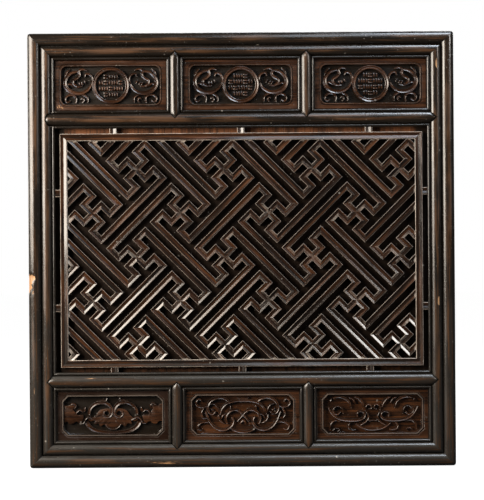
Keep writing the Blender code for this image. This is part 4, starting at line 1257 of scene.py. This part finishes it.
class LATTICEPANEL_OT_cross_pieces(bpy.types.Operator):
    """Models the two mid rails and the four muntins, whose pointed ends are let into their neighbours"""

    bl_idname = "lattice_panel.cross_pieces"
    bl_label = "Mid rails and muntins"

    def execute(self, context):
        up = math.pi / 2
        for row, sign, number in (("upper", 1, UPPER_RAIL_NUMBER), ("lower", -1, LOWER_RAIL_NUMBER)):
            edge = sign * (CENTRE_Y + MID_RAIL)
            cuts = [(MUNTIN / 2, side * MUNTIN_X, edge, -sign * up) for side in (-1, 1)]
            rail = (MID_RAIL_ROUND, 2 * INNER_X, 0, sign * MID_RAIL_Y, 0)
            add_cross_piece(row + "_mid_rail", *rail, cuts, number, sign > 0)
            for side, direction in (("left", -1), ("right", 1)):
                number += 2
                muntin = (MUNTIN_ROUND, PANEL_OPENING_HEIGHT, direction * MUNTIN_X, sign * PANEL_Y, up)
                add_cross_piece(row + "_muntin_" + side, *muntin, [], number)
        return {"FINISHED"}


# Carved panels


def between(knots, index, t):
    """A point of a smooth line, part of the way from one knot to the next."""
    a, b = knots[max(index - 1, 0)], knots[index]
    c, d = knots[index + 1], knots[min(index + 2, len(knots) - 1)]
    return Vector([
        0.5 * (2 * q + (r - p) * t + (2 * p - 5 * q + 4 * r - s) * t * t + (3 * q - p - 3 * r + s) * t ** 3)
        for p, q, r, s in zip(a, b, c, d)
    ])


def smooth_line(knots):
    """Points of a smooth line through its knots."""
    points = []
    for index in range(len(knots) - 1):
        points += [between(knots, index, step / KNOT_STEPS) for step in range(KNOT_STEPS)]
    return points + [Vector(knots[-1])]


def stations(line, first_radius, last_radius):
    """Places along a line at even distances, closer together where its ends are rounded."""
    lengths = [0.0]
    for start, end in zip(line, line[1:]):
        lengths.append(lengths[-1] + (end - start).length)
    whole = lengths[-1]
    count = max(3, round(whole / BAND_STEP))
    distances = {whole * step / count for step in range(count + 1)}
    for part in END_STATIONS:
        distances |= {first_radius * part, whole - last_radius * part}
    found = []
    index = 0
    for distance in sorted(min(whole, max(0.0, d)) for d in distances):
        while index < len(line) - 2 and lengths[index + 1] < distance:
            index += 1
        part = (distance - lengths[index]) / (lengths[index + 1] - lengths[index])
        ahead = line[min(index + 2, len(line) - 1)] - line[max(index - 1, 0)]
        across = Vector((-ahead.y, ahead.x)).normalized()
        found.append((distance, line[index].lerp(line[index + 1], part), across))
    return found, whole


def carved_band(knots, widths, top, unit, hollow_share=1.0):
    """A carved band with a hollow face between raised edges and with rounded ends."""
    sizes = settings("sizes")
    places, whole = stations(smooth_line(knots), widths[0] / 2, widths[2] / 2)
    section = list(BAND_SECTION) + [(-across, lift, dip) for across, lift, dip in reversed(BAND_SECTION[:-1])]
    bottom = FIELD_FLOOR - EMBED
    rows = []
    for distance, middle, across in places:
        past_middle = 2 * distance / whole - 1
        end_width = widths[2] if past_middle > 0 else widths[0]
        width = widths[1] + (end_width - widths[1]) * abs(past_middle)
        near_end = min(1.0, min(distance, whole - distance) / (width / 2))
        rounding = math.sqrt(max(0.0, 1 - (1 - near_end) ** 2))
        half = width / 2 * rounding
        crest = top - sizes.band_drop * abs(past_middle) ** 4
        hollow = min(sizes.band_hollow, width * HOLLOW_SHARE * MM) * rounding * hollow_share
        row = []
        for part, lift, dip in section:
            point = (middle + across * half * part) * unit
            row.append((point.x, point.y, bottom + (crest - bottom) * lift - hollow * dip))
        rows.append(row)
    return close_up(shaped_sheet(rows))


def add_bands(bm, bands, unit):
    """Carves bands and their mirror images, each a hair under the one before."""
    for index, (knots, widths, level) in enumerate(bands.values()):
        top = RELIEF_TOP - LOWER_LEVEL * (1 - level) - BAND_LAYER * index
        mirrored = [(-x, y) for x, y in knots]
        if knots[-1][0] == 0:
            start, _, end = widths
            join(bm, carved_band(list(knots) + mirrored[-2::-1], (start, end, start), top, unit))
        else:
            join(bm, carved_band(knots, widths, top, unit))
            join(bm, carved_band(mirrored, widths, top - MIRROR_LAYER, unit))


def carved_leaf(outline, unit, holes=()):
    """A leafy shape with a rounded edge and round holes where a curl is pierced."""
    points = [point * unit for point in smooth_line(list(outline) + [outline[0]])[:-1]]
    bm = prism([tuple(point) for point in points], FIELD_FLOOR - EMBED, LEAF_TOP)
    if holes:
        turns = [2 * math.pi * step / HOLE_STEPS for step in range(HOLE_STEPS)]
        cutters = []
        for x, y, radius in holes:
            edge = [((x + radius * math.cos(a)) * unit, (y + radius * math.sin(a)) * unit) for a in turns]
            cutters.append(prism(edge, FIELD_FLOOR - OVERCUT, THICKNESS))
        bm = cut_out(bm, cutters)
    rim = [edge for edge in bm.edges if all(vertex.co.z > LEAF_TOP - EMBED for vertex in edge.verts)]
    bmesh.ops.bevel(
        bm, geom=rim, offset=settings("sizes").leaf_edge, offset_type="OFFSET", segments=2, profile=0.5,
        affect="EDGES", material=-1, clamp_overlap=True,
    )
    bmesh.ops.recalc_face_normals(bm, faces=bm.faces)
    return bm


def flipped(points):
    """An outline's mirror image, drawn the same way round."""
    return [(-x, y) for x, y in reversed(points)]


def add_leaves(bm, unit):
    holes = [(side * x, y, radius) for side in (-1, 1) for x, y, radius in CURL_HOLES]
    join(bm, carved_leaf(list(WIDE_LEAF) + flipped(WIDE_LEAF[1:-1]), unit, holes))
    join(bm, carved_leaf(SIDE_LEAF, unit))
    join(bm, carved_leaf(flipped(SIDE_LEAF), unit))
    for knots in LEAF_VEINS:
        for side in (-1, 1):
            vein = [(side * x, y) for x, y in knots]
            join(bm, carved_band(vein, VEIN_WIDTHS, VEIN_TOP, unit, 0.0))


def roundel(unit):
    """The ring round the middle of an upper panel, with two raised lines."""
    low = FIELD_FLOOR - EMBED
    bm = bmesh.new()
    points = [(radius * unit, 0, low + (ROUNDEL_TOP - low) * lift) for radius, lift in ROUNDEL_LEVELS]
    bmesh.ops.spin(
        bm, geom=closed_ring(bm, points), cent=(0, 0, 0), axis=(0, 0, 1),
        angle=2 * math.pi, steps=RING_STEPS, use_merge=True,
    )
    bmesh.ops.remove_doubles(bm, verts=bm.verts, dist=WELD)
    return close_up(bm)


def add_strokes(bm, unit, column):
    """Rows of short shallow strokes across the roundel, in pairs: upright ones between lying pairs."""
    for row in range(STROKE_ROWS):
        y = (row - (STROKE_ROWS - 1) / 2) * STROKE_PITCH
        corner = abs(y) + STROKE_LENGTH / 2 + STROKE_MARGIN
        reach = math.sqrt(ROUNDEL_INNER ** 2 - corner ** 2)
        count = int(2 * reach / STROKE_STEP)
        for index in range(count):
            x = (index - (count - 1) / 2) * STROKE_STEP
            lying = (index + row + column) % LYING_STROKE_EVERY == 0
            for side in (-0.5, 0.5):
                if lying:
                    level = y + side * STROKE_SPACING
                    knots = ((x - STROKE_LENGTH / 2, level), (x + STROKE_LENGTH / 2, level))
                else:
                    across = x + side * STROKE_SPACING
                    knots = ((across, y - STROKE_LENGTH / 2), (across, y + STROKE_LENGTH / 2))
                join(bm, carved_band(knots, (STROKE_WIDTH,) * 3, STROKE_TOP, unit, STROKE_HOLLOW))


def field_loop(half_x, half_y, corner, rounded):
    """Outline of a field with round or cut corners, closed back to its first point."""
    steps = CORNER_STEPS if rounded else 1
    points = []
    for quarter, (right, up) in enumerate(CORNERS):
        centre = (right * (half_x - corner), up * (half_y - corner))
        for step in range(steps + 1):
            angle = (quarter - 1 + step / steps) * math.pi / 2
            points.append((centre[0] + corner * math.cos(angle), centre[1] + corner * math.sin(angle)))
    return points + points[:1]


def panel_plate(width, rounded):
    """A panel with its raised front, the grooved rim and the sunk field."""
    sizes = settings("sizes")
    slab_x = width / 2 + RABBET_WIDTH - GAP
    slab_y = PANEL_OPENING_HEIGHT / 2 + RABBET_WIDTH - GAP
    front_x, front_y = slab_x - RABBET_WIDTH, slab_y - RABBET_WIDTH
    field_x = width / 2 - FIELD_SIDE_MARGIN
    field_y = PANEL_OPENING_HEIGHT / 2 - FIELD_END_MARGIN
    corner = FIELD_ROUND if rounded else FIELD_CHAMFER
    groove, depth = sizes.rim_groove_width, sizes.rim_groove_depth
    flats = [(slab_x, slab_y, 0.0), (slab_x, slab_y, BOARD_THICKNESS), (front_x, front_y, BOARD_THICKNESS)]
    flats += [(front_x - inwards, front_y - inwards, PANEL_FACE - down) for inwards, down in PANEL_FRONT_EDGE]
    # The rim, from outside its groove to the field's floor: how far out and how high.
    steps = (
        (RIM_WIDTH + groove + 0.0007, PANEL_FACE),
        (RIM_WIDTH + groove, PANEL_FACE),
        (RIM_WIDTH + groove * 0.6, PANEL_FACE - depth),
        (RIM_WIDTH + groove * 0.25, PANEL_FACE - depth),
        (RIM_WIDTH, PANEL_FACE + RIM_RISE * 0.5),
        (RIM_WIDTH * 0.8, PANEL_FACE + RIM_RISE),
        (RIM_WIDTH * 0.3, PANEL_FACE + RIM_RISE),
        (0.0, PANEL_FACE + RIM_RISE * 0.3),
        (-0.0004, FIELD_FLOOR + 0.0006),
        (-0.0010, FIELD_FLOOR),
    )
    rows = []
    for half_x, half_y, z in flats:
        rows.append([(x, y, z) for x, y in field_loop(half_x, half_y, 0.0, rounded)])
    for out, z in steps:
        loop = field_loop(field_x + out, field_y + out, corner + out * 0.5, rounded)
        rows.append([(x, y, z) for x, y in loop])
    return close_up(shaped_sheet(rows))


def add_scratches(bm):
    """Raises a few pale scratches from a panel's margin and marks them as raw."""
    bm.verts.layers.float.new("raw")
    for knots in SCRATCHES:
        scratch = carved_band(knots, SCRATCH_WIDTHS, PANEL_FACE + SCRATCH_RISE, MM, 0.0)
        marked = scratch.verts.layers.float.new("raw")
        for vertex in scratch.verts:
            faded = smooth_step(PANEL_FACE - SCRATCH_FADE, PANEL_FACE, vertex.co.z)
            vertex[marked] = SCRATCH_RAWNESS * faded
        join(bm, scratch)


def add_carved_panel(name, x, y, width, rounded, number, carve, ages):
    across = (width - 2 * FIELD_SIDE_MARGIN) / DRAWN_WIDTH
    up = (PANEL_OPENING_HEIGHT - 2 * FIELD_END_MARGIN) / DRAWN_HEIGHT
    bm = panel_plate(width, rounded)
    carve(bm, MM * min(across, up))
    place = spot(x, y)
    move(bm, place)
    finish_piece(name, bm, "brown lacquered panel", ages, place, number, False)


class LATTICEPANEL_OT_upper_panels(bpy.types.Operator):
    """Models the three upper panels, each with a roundel between two scrolls"""

    bl_idname = "lattice_panel.upper_panels"
    bl_label = "Upper carved panels"

    def execute(self, context):
        for number, (column, x, width) in enumerate(COLUMNS):

            def carve(bm, unit, number=number):
                join(bm, roundel(unit))
                add_strokes(bm, unit, number)
                add_bands(bm, UPPER_BANDS, unit)
                if number == 0:
                    add_scratches(bm)

            name = "upper_panel_" + column
            grain_number = UPPER_PANEL_NUMBER + number
            add_carved_panel(name, x, PANEL_Y, width, True, grain_number, carve, PANEL_AGES)
        return {"FINISHED"}


class LATTICEPANEL_OT_lower_panels(bpy.types.Operator):
    """Models the three lower panels, each with its own carving"""

    bl_idname = "lattice_panel.lower_panels"
    bl_label = "Lower carved panels"

    def execute(self, context):
        carvings = (LOWER_LEFT_BANDS, LOWER_MIDDLE_BANDS, LOWER_RIGHT_BANDS)
        for number, ((column, x, width), bands) in enumerate(zip(COLUMNS, carvings), LOWER_PANEL_NUMBER):

            def carve(bm, unit, bands=bands, leafy=column == "left"):
                if leafy:
                    add_leaves(bm, unit)
                add_bands(bm, bands, unit)

            ages = LEAFY_AGES if column == "left" else RUDDY_AGES
            add_carved_panel("lower_panel_" + column, x, -PANEL_Y, width, False, number, carve, ages)
        return {"FINISHED"}


# Lattice


def turned_arm(quarters):
    """The fret's arm after a number of quarter turns."""
    arm = [(0, 0), (HOOK_STEPS, 0), (HOOK_STEPS, -HOOK_STEPS)]
    arm += [(2 * HOOK_STEPS, -HOOK_STEPS), (2 * HOOK_STEPS, TAIL_STEPS)]
    for _ in range(quarters):
        arm = [(-b, a) for a, b in arm]
    return arm


def arm_cells(arm, a0, b0):
    """Cells along an arm that starts at a place: its turning points and every one between them."""
    cells = set()
    for (a1, b1), (a2, b2) in zip(arm, arm[1:]):
        count = 2 * max(abs(a2 - a1), abs(b2 - b1))
        for index in range(count + 1):
            a = 2 * (a0 + a1) + index * 2 * (a2 - a1) // count
            b = 2 * (b0 + b1) + index * 2 * (b2 - b1) // count
            cells.add((a, b))
    return cells


def fret_cells(reach):
    """Cells that the fret fills: even numbers are bars, odd ones the spaces between."""
    cells = set()
    for m in range(-reach, reach + 1):
        for n in range(-reach, reach + 1):
            for hand, shift in ((1, 0), (-1, -REPEAT_STEPS)):
                for quarters in range(4):
                    arm = [(a, hand * b) for a, b in turned_arm(quarters)]
                    cells |= arm_cells(arm, REPEAT_STEPS * (m + n), REPEAT_STEPS * (m - n) + shift)
    return cells


def fret_sheet(half_x, half_y):
    """The fret as a flat sheet of bar cells on the diagonal, which reaches past its field."""
    across = 2 * half_x / FRET_STEPS_ACROSS
    up = 2 * half_y / FRET_STEPS_UP
    step = math.hypot(across, up)
    slope = math.atan2(up, across)
    bar = FRET_BAR / math.sin(2 * slope)
    start = Vector((-half_x + FRET_START_STEPS_RIGHT * across, half_y - FRET_START_STEPS_DOWN * up, 0))
    reach = math.ceil((FRET_STEPS_ACROSS + FRET_STEPS_UP) / 2)
    first = -2 * reach
    count = 4 * reach + 1
    bm = bmesh.new()
    bmesh.ops.create_grid(bm, x_segments=count, y_segments=count, size=count / 2)
    bmesh.ops.translate(bm, verts=bm.verts, vec=(count / 2 + first, count / 2 + first, 0))
    filled = fret_cells(math.ceil(2 * reach / REPEAT_STEPS))
    spaces = []
    for face in bm.faces:
        middle = face.calc_center_median()
        if (math.floor(middle.x), math.floor(middle.y)) not in filled:
            spaces.append(face)
    bmesh.ops.delete(bm, geom=spaces, context="FACES")
    for vertex in bm.verts:
        places = []
        for value in vertex.co.xy:
            line, side = divmod(round(value), 2)
            places.append(line * step + (side - 1 / 2) * bar)
        along, rising = places
        vertex.co.x = start.x + (along + rising) * math.cos(slope)
        vertex.co.y = start.y + (rising - along) * math.sin(slope)
    past = FRET_MARGIN_BARS * FRET_BAR
    far_x, far_y = half_x + past, half_y + past
    outside = [face for face in bm.faces if not near_field(face.calc_center_median(), far_x, far_y)]
    bmesh.ops.delete(bm, geom=outside, context="FACES")
    return bm


def near_field(point, half_x, half_y):
    return abs(point.x) < half_x and abs(point.y) < half_y


def hollow_bars(bm):
    """Gives the flat fret its thickness, softened edges and a hollow face with mitred corners."""
    sizes = settings("sizes")
    chamfer = sizes.bar_chamfer
    bmesh.ops.translate(bm, verts=bm.verts, vec=(0, 0, FRET_BACK))
    thicken(bm, list(bm.faces), FRET_FRONT - chamfer - FRET_BACK)
    front = [face for face in bm.faces if face.normal.z > FRONT_LEVEL]
    half = FRET_BAR / 2 - chamfer - sizes.bar_arris
    insets = [(chamfer, chamfer), (sizes.bar_arris, 0.0)]
    insets += [(inwards, -down) for inwards, down in cove(half, sizes.bar_hollow)[:-1]]
    for thickness, depth in insets:
        bmesh.ops.inset_region(
            bm, faces=front, thickness=thickness, depth=depth, use_boundary=True, use_even_offset=True,
        )


def joined_faces(bm):
    """Groups of faces that share edges."""
    groups = []
    unseen = set(bm.faces)
    while unseen:
        group = set()
        waiting = [unseen.pop()]
        while waiting:
            face = waiting.pop()
            if face in group:
                continue
            group.add(face)
            for edge in face.edges:
                waiting += [other for other in edge.link_faces if other not in group]
        unseen -= group
        groups.append(group)
    return groups


def nearest_node(faces, names):
    """The fret node whose box is the closest to that of a run of bars."""
    points = [vertex.co for face in faces for vertex in face.verts]
    low = Vector((min(p.x for p in points), min(p.y for p in points)))
    high = Vector((max(p.x for p in points), max(p.y for p in points)))

    def off(name):
        node_low, node_high = (Vector((corner[0], corner[2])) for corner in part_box(name))
        return (low - node_low).length + (high - node_high).length

    best = min(names, key=off)
    if off(best) > NODE_MATCH:
        raise RuntimeError("no solid matches the fret run at " + str(tuple(low)))
    return best


class LATTICEPANEL_OT_fret(bpy.types.Operator):
    """Models the diagonal fret: one large run of hollow-faced bars and the short ones along its frame"""

    bl_idname = "lattice_panel.fret"
    bl_label = "Fret"

    def execute(self, context):
        half_x = LATTICE_X - LATTICE_MEMBER - GAP
        half_y = LATTICE_Y - LATTICE_MEMBER - GAP
        bm = fret_sheet(half_x, half_y)
        hollow_bars(bm)
        for x, y in ((half_x, 0), (-half_x, 0), (0, half_y), (0, -half_y)):
            slice_off(bm, (x, y, 0), (x, y, 0))
        number_of = bm.faces.layers.int.new("run")
        # Each run's number follows from its name, so that its grain is the same each time.
        names = [name for name in frame["nodes"] if name.startswith("fret_")]
        names.sort(key=lambda name: (name != LARGE_RUN, name))
        numbers = {name: number for number, name in enumerate(names, 1)}
        for group in joined_faces(bm):
            flat = sum(face.calc_area() * face.normal.z for face in group if face.normal.z > FACING_FRONT)
            if flat > SPLINTER_AREA:
                name = nearest_node(group, names)
                names.remove(name)
                for face in group:
                    face[number_of] = numbers[name]
        if names:
            raise RuntimeError("no run of bars was made for " + ", ".join(names))
        for name, number in numbers.items():
            run = bm.copy()
            layer = run.faces.layers.int["run"]
            others = [face for face in run.faces if face[layer] != number]
            bmesh.ops.delete(run, geom=others, context="FACES")
            finish_piece(
                name, run, "dark lacquered lattice", LATTICE_AGES, None, FRET_NUMBER + number,
                False, sharp=CRISP_ANGLE, along_bars=True,
            )
        bm.free()
        return {"FINISHED"}


class LATTICEPANEL_OT_lattice_frame(bpy.types.Operator):
    """Models the lattice's own mitred frame and the short struts that hold it"""

    bl_idname = "lattice_panel.lattice_frame"
    bl_label = "Lattice frame and struts"

    def execute(self, context):
        profile = hollow_profile(LATTICE_MEMBER, LATTICE_BACK, LATTICE_FRONT)
        for side, name in enumerate(("bottom", "right", "top", "left")):
            place, length = side_place(side, LATTICE_X, LATTICE_Y)
            bm = mitred_bar(profile, length)
            work_by_hand(bm, LATTICE_MARKS_FROM, side + LATTICE_SEED)
            move(bm, place)
            finish_piece(
                "lattice_frame_" + name, bm, "rubbed lattice frame", LATTICE_AGES, place,
                LATTICE_FRAME_NUMBER + side, sharp=CRISP_ANGLE,
            )
        across = LATTICE_X + LATTICE_CLEARANCE / 2
        up = LATTICE_Y + LATTICE_CLEARANCE / 2
        for side, sign in (("top", 1), ("bottom", -1)):
            for number, step in enumerate((-1, 0, 1), 1):
                x = step * (LATTICE_X - STRUT_FROM_SIDE)
                self.add_strut("strut_" + side + "_" + str(number), x, sign * up, math.pi / 2)
        for side, sign in (("left", -1), ("right", 1)):
            for number, step in enumerate((-1, 1), 1):
                y = step * (LATTICE_Y - STRUT_FROM_END)
                self.add_strut("strut_" + side + "_" + str(number), sign * across, y, 0.0)
        return {"FINISHED"}

    def add_strut(self, name, x, y, turn):
        half = LATTICE_CLEARANCE / 2 - GAP
        bm = sweep(hollow_profile(STRUT_WIDTH, LATTICE_BACK, STRUT_FRONT), -half, half, STRUT_STEP)
        place = spot(x, y, turn) @ Matrix.Translation((0, -STRUT_WIDTH / 2, 0))
        move(bm, place)
        finish_piece(name, bm, "rubbed lattice frame", LATTICE_AGES, place, STRUT_NUMBER)


class LATTICEPANEL_OT_boards(bpy.types.Operator):
    """Models the three upright backing boards"""

    bl_idname = "lattice_panel.boards"
    bl_label = "Backing boards"

    def execute(self, context):
        edge = INNER_X + RABBET_WIDTH - GAP
        half_height = CENTRE_Y + RABBET_WIDTH - GAP
        left_seam = -INNER_X + LEFT_BOARD_SHOWING
        right_seam = left_seam + MIDDLE_BOARD_WIDTH
        soft = settings("sizes").board_edge
        stretches = (
            ("left", -edge, left_seam - GAP / 2),
            ("middle", left_seam + GAP / 2, right_seam - GAP / 2),
            ("right", right_seam + GAP / 2, edge),
        )
        for number, (side, start, end) in enumerate(stretches, BOARD_NUMBER):
            half = (end - start) / 2
            profile = [(-half, soft), (-half, BOARD_THICKNESS - soft)]
            for step in range(BOARD_STEPS + 1):
                profile.append(((half - soft) * (2 * step / BOARD_STEPS - 1), BOARD_THICKNESS))
            profile += [(half, BOARD_THICKNESS - soft), (half, soft), (half - soft, 0), (-half + soft, 0)]
            bm = sweep(profile, -half_height, half_height)
            place = spot((start + end) / 2, 0, math.pi / 2)
            move(bm, place)
            finish_piece(
                "backing_board_" + side, bm, "worn backing board", BOARD_AGES, place, number,
                clean_share=self.clean_share,
            )
        return {"FINISHED"}

    def clean_share(self, place):
        """How clean a board is, and how much painted shade it takes: dark behind the lattice and at its
        sides, less so at its lower end.
        """
        if place.z < BOARD_THICKNESS / 2:
            return BACK_CLEAN_SHARE
        top = smooth_step(*UNSHADED_HEIGHTS, place.y)
        foot = FOOT_UNSHADED_SHARE * smooth_step(*UNSHADED_HEIGHTS, -place.y)
        side = smooth_step(*SHADED_SIDE, abs(place.x))
        return (top + foot) * (1 - side)


# Stage


def add_light(name, tint, strength, sides, place, target):
    light = bpy.data.lights.new(name, "AREA")
    light.shape = "RECTANGLE"
    light.size, light.size_y = sides
    light.color = tint
    light.energy = strength
    lamp = bpy.data.objects.new(name, light)
    lamp.location = place
    lamp.rotation_euler = (Vector(target) - Vector(place)).to_track_quat("-Z", "Y").to_euler()
    bpy.context.scene.collection.objects.link(lamp)


class LATTICEPANEL_OT_stage(bpy.types.Operator):
    """Adds the pale floor, the six soft lights, the even light and the camera"""

    bl_idname = "lattice_panel.stage"
    bl_label = "Stage"

    def execute(self, context):
        stage = settings("stage")
        scene = context.scene
        scene.view_settings.view_transform = "Standard"
        self.add_floor(stage)
        self.add_surroundings(stage, scene)
        for name, tint, strength, sides, place, target in LIGHTS:
            add_light(name, getattr(stage, tint), getattr(stage, strength), sides, place, target)
        self.add_camera(stage, scene)
        return {"FINISHED"}

    def add_camera(self, stage, scene):
        """A camera straight in front, framed and turned as the photograph is."""
        camera = bpy.data.cameras.new("camera")
        camera.sensor_width = SENSOR
        pixels_away = stage.camera_distance * PIXELS_PER_METRE
        camera.lens = SENSOR * pixels_away / max(PHOTO_WIDTH, PHOTO_HEIGHT)
        seen = bpy.data.objects.new("camera", camera)
        right = (PHOTO_WIDTH / 2 - PANEL_PIXEL[0]) / PIXELS_PER_METRE
        down = (PHOTO_HEIGHT / 2 - PANEL_PIXEL[1]) / PIXELS_PER_METRE
        place = Matrix.Translation((right, -stage.camera_distance - THICKNESS * FOCUS_HEIGHT, -down))
        seen.matrix_world = place @ STAND_UP @ Matrix.Rotation(-PHOTO_ROLL, 4, "Z")
        scene.collection.objects.link(seen)
        scene.camera = seen

    def add_floor(self, stage):
        bm = bmesh.new()
        level = Matrix.Translation((0, 0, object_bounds()[0].z - FLOOR_DROP))
        bmesh.ops.create_circle(
            bm, cap_ends=True, radius=FLOOR_RADIUS, segments=FLOOR_SEGMENTS, matrix=level,
        )
        floor = loose_object("floor", bm, bpy.context.scene.collection)
        material = bpy.data.materials.new("pale floor")
        material.use_nodes = True
        tree = material.node_tree
        shader = tree.nodes["Principled BSDF"]
        coordinates = tree.nodes.new("ShaderNodeTexCoord").outputs["Object"]
        cloud = spread(tree, fractal(tree, coordinates, scale=3, detail=3), low=0.3, high=0.7)
        darker = [part * FLOOR_CLOUD_SHARE for part in stage.floor]
        tree.links.new(blend_colours(tree, cloud, stage.floor, darker), shader.inputs["Base Color"])
        shader.inputs["Roughness"].default_value = FLOOR_ROUGHNESS
        shader.inputs["Specular IOR Level"].default_value = FLOOR_SHINE
        shader.inputs["Emission Color"].default_value = WHITE
        shader.inputs["Emission Strength"].default_value = stage.floor_glow
        floor.data.materials.append(material)
        floor.visible_diffuse = False
        floor.visible_glossy = False
        floor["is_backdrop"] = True

    def add_surroundings(self, stage, scene):
        """A white surround for the camera and a dim even light on the panel."""
        world = bpy.data.worlds.new("surroundings")
        world.use_nodes = True
        scene.world = world
        tree = world.node_tree
        seen = tree.nodes["Background"]
        seen.inputs["Color"].default_value = WHITE
        seen.inputs["Strength"].default_value = 1.0
        even = tree.nodes.new("ShaderNodeBackground")
        even.inputs["Color"].default_value = EVEN_LIGHT
        even.inputs["Strength"].default_value = stage.fill
        path = tree.nodes.new("ShaderNodeLightPath")
        mix = tree.nodes.new("ShaderNodeMixShader")
        tree.links.new(path.outputs["Is Camera Ray"], mix.inputs["Fac"])
        tree.links.new(even.outputs["Background"], mix.inputs[1])
        tree.links.new(seen.outputs["Background"], mix.inputs[2])
        tree.links.new(mix.outputs["Shader"], tree.nodes["World Output"].inputs["Surface"])


OPERATORS = (
    LATTICEPANEL_OT_finishes,
    LATTICEPANEL_OT_frame,
    LATTICEPANEL_OT_cross_pieces,
    LATTICEPANEL_OT_upper_panels,
    LATTICEPANEL_OT_lower_panels,
    LATTICEPANEL_OT_lattice_frame,
    LATTICEPANEL_OT_fret,
    LATTICEPANEL_OT_boards,
    LATTICEPANEL_OT_stage,
)


class LATTICEPANEL_PT_sidebar(bpy.types.Panel):
    """Lists the steps that build the panel, with their sizes and colours"""

    bl_idname = "LATTICEPANEL_PT_sidebar"
    bl_label = "Carved lattice panel"
    bl_space_type = "VIEW_3D"
    bl_region_type = "UI"
    bl_category = "Lattice panel"

    def draw(self, context):
        for group in GROUPS:
            box = self.layout.box()
            for name in GROUPS[group].__annotations__:
                box.prop(settings(group), name)
        for operator in OPERATORS:
            self.layout.operator(operator.bl_idname)


GROUPS = {"sizes": PanelSizes, "colours": PanelColours, "stage": PanelStage}
CLASSES = (*GROUPS.values(), *OPERATORS, LATTICEPANEL_PT_sidebar)


def register():
    for cls in CLASSES:
        bpy.utils.register_class(cls)
    for group, kind in GROUPS.items():
        setattr(bpy.types.Scene, "lattice_panel_" + group, PointerProperty(type=kind))


def unregister():
    for group in GROUPS:
        delattr(bpy.types.Scene, "lattice_panel_" + group)
    for cls in reversed(CLASSES):
        bpy.utils.unregister_class(cls)


def main():
    register()
    steps = bpy.ops.lattice_panel
    steps.finishes()
    steps.frame()
    steps.cross_pieces()
    steps.upper_panels()
    steps.lower_panels()
    steps.lattice_frame()
    steps.fret()
    steps.boards()
    steps.stage()
    bpy.context.view_layer.update()


if __name__ == "__main__":
    main()
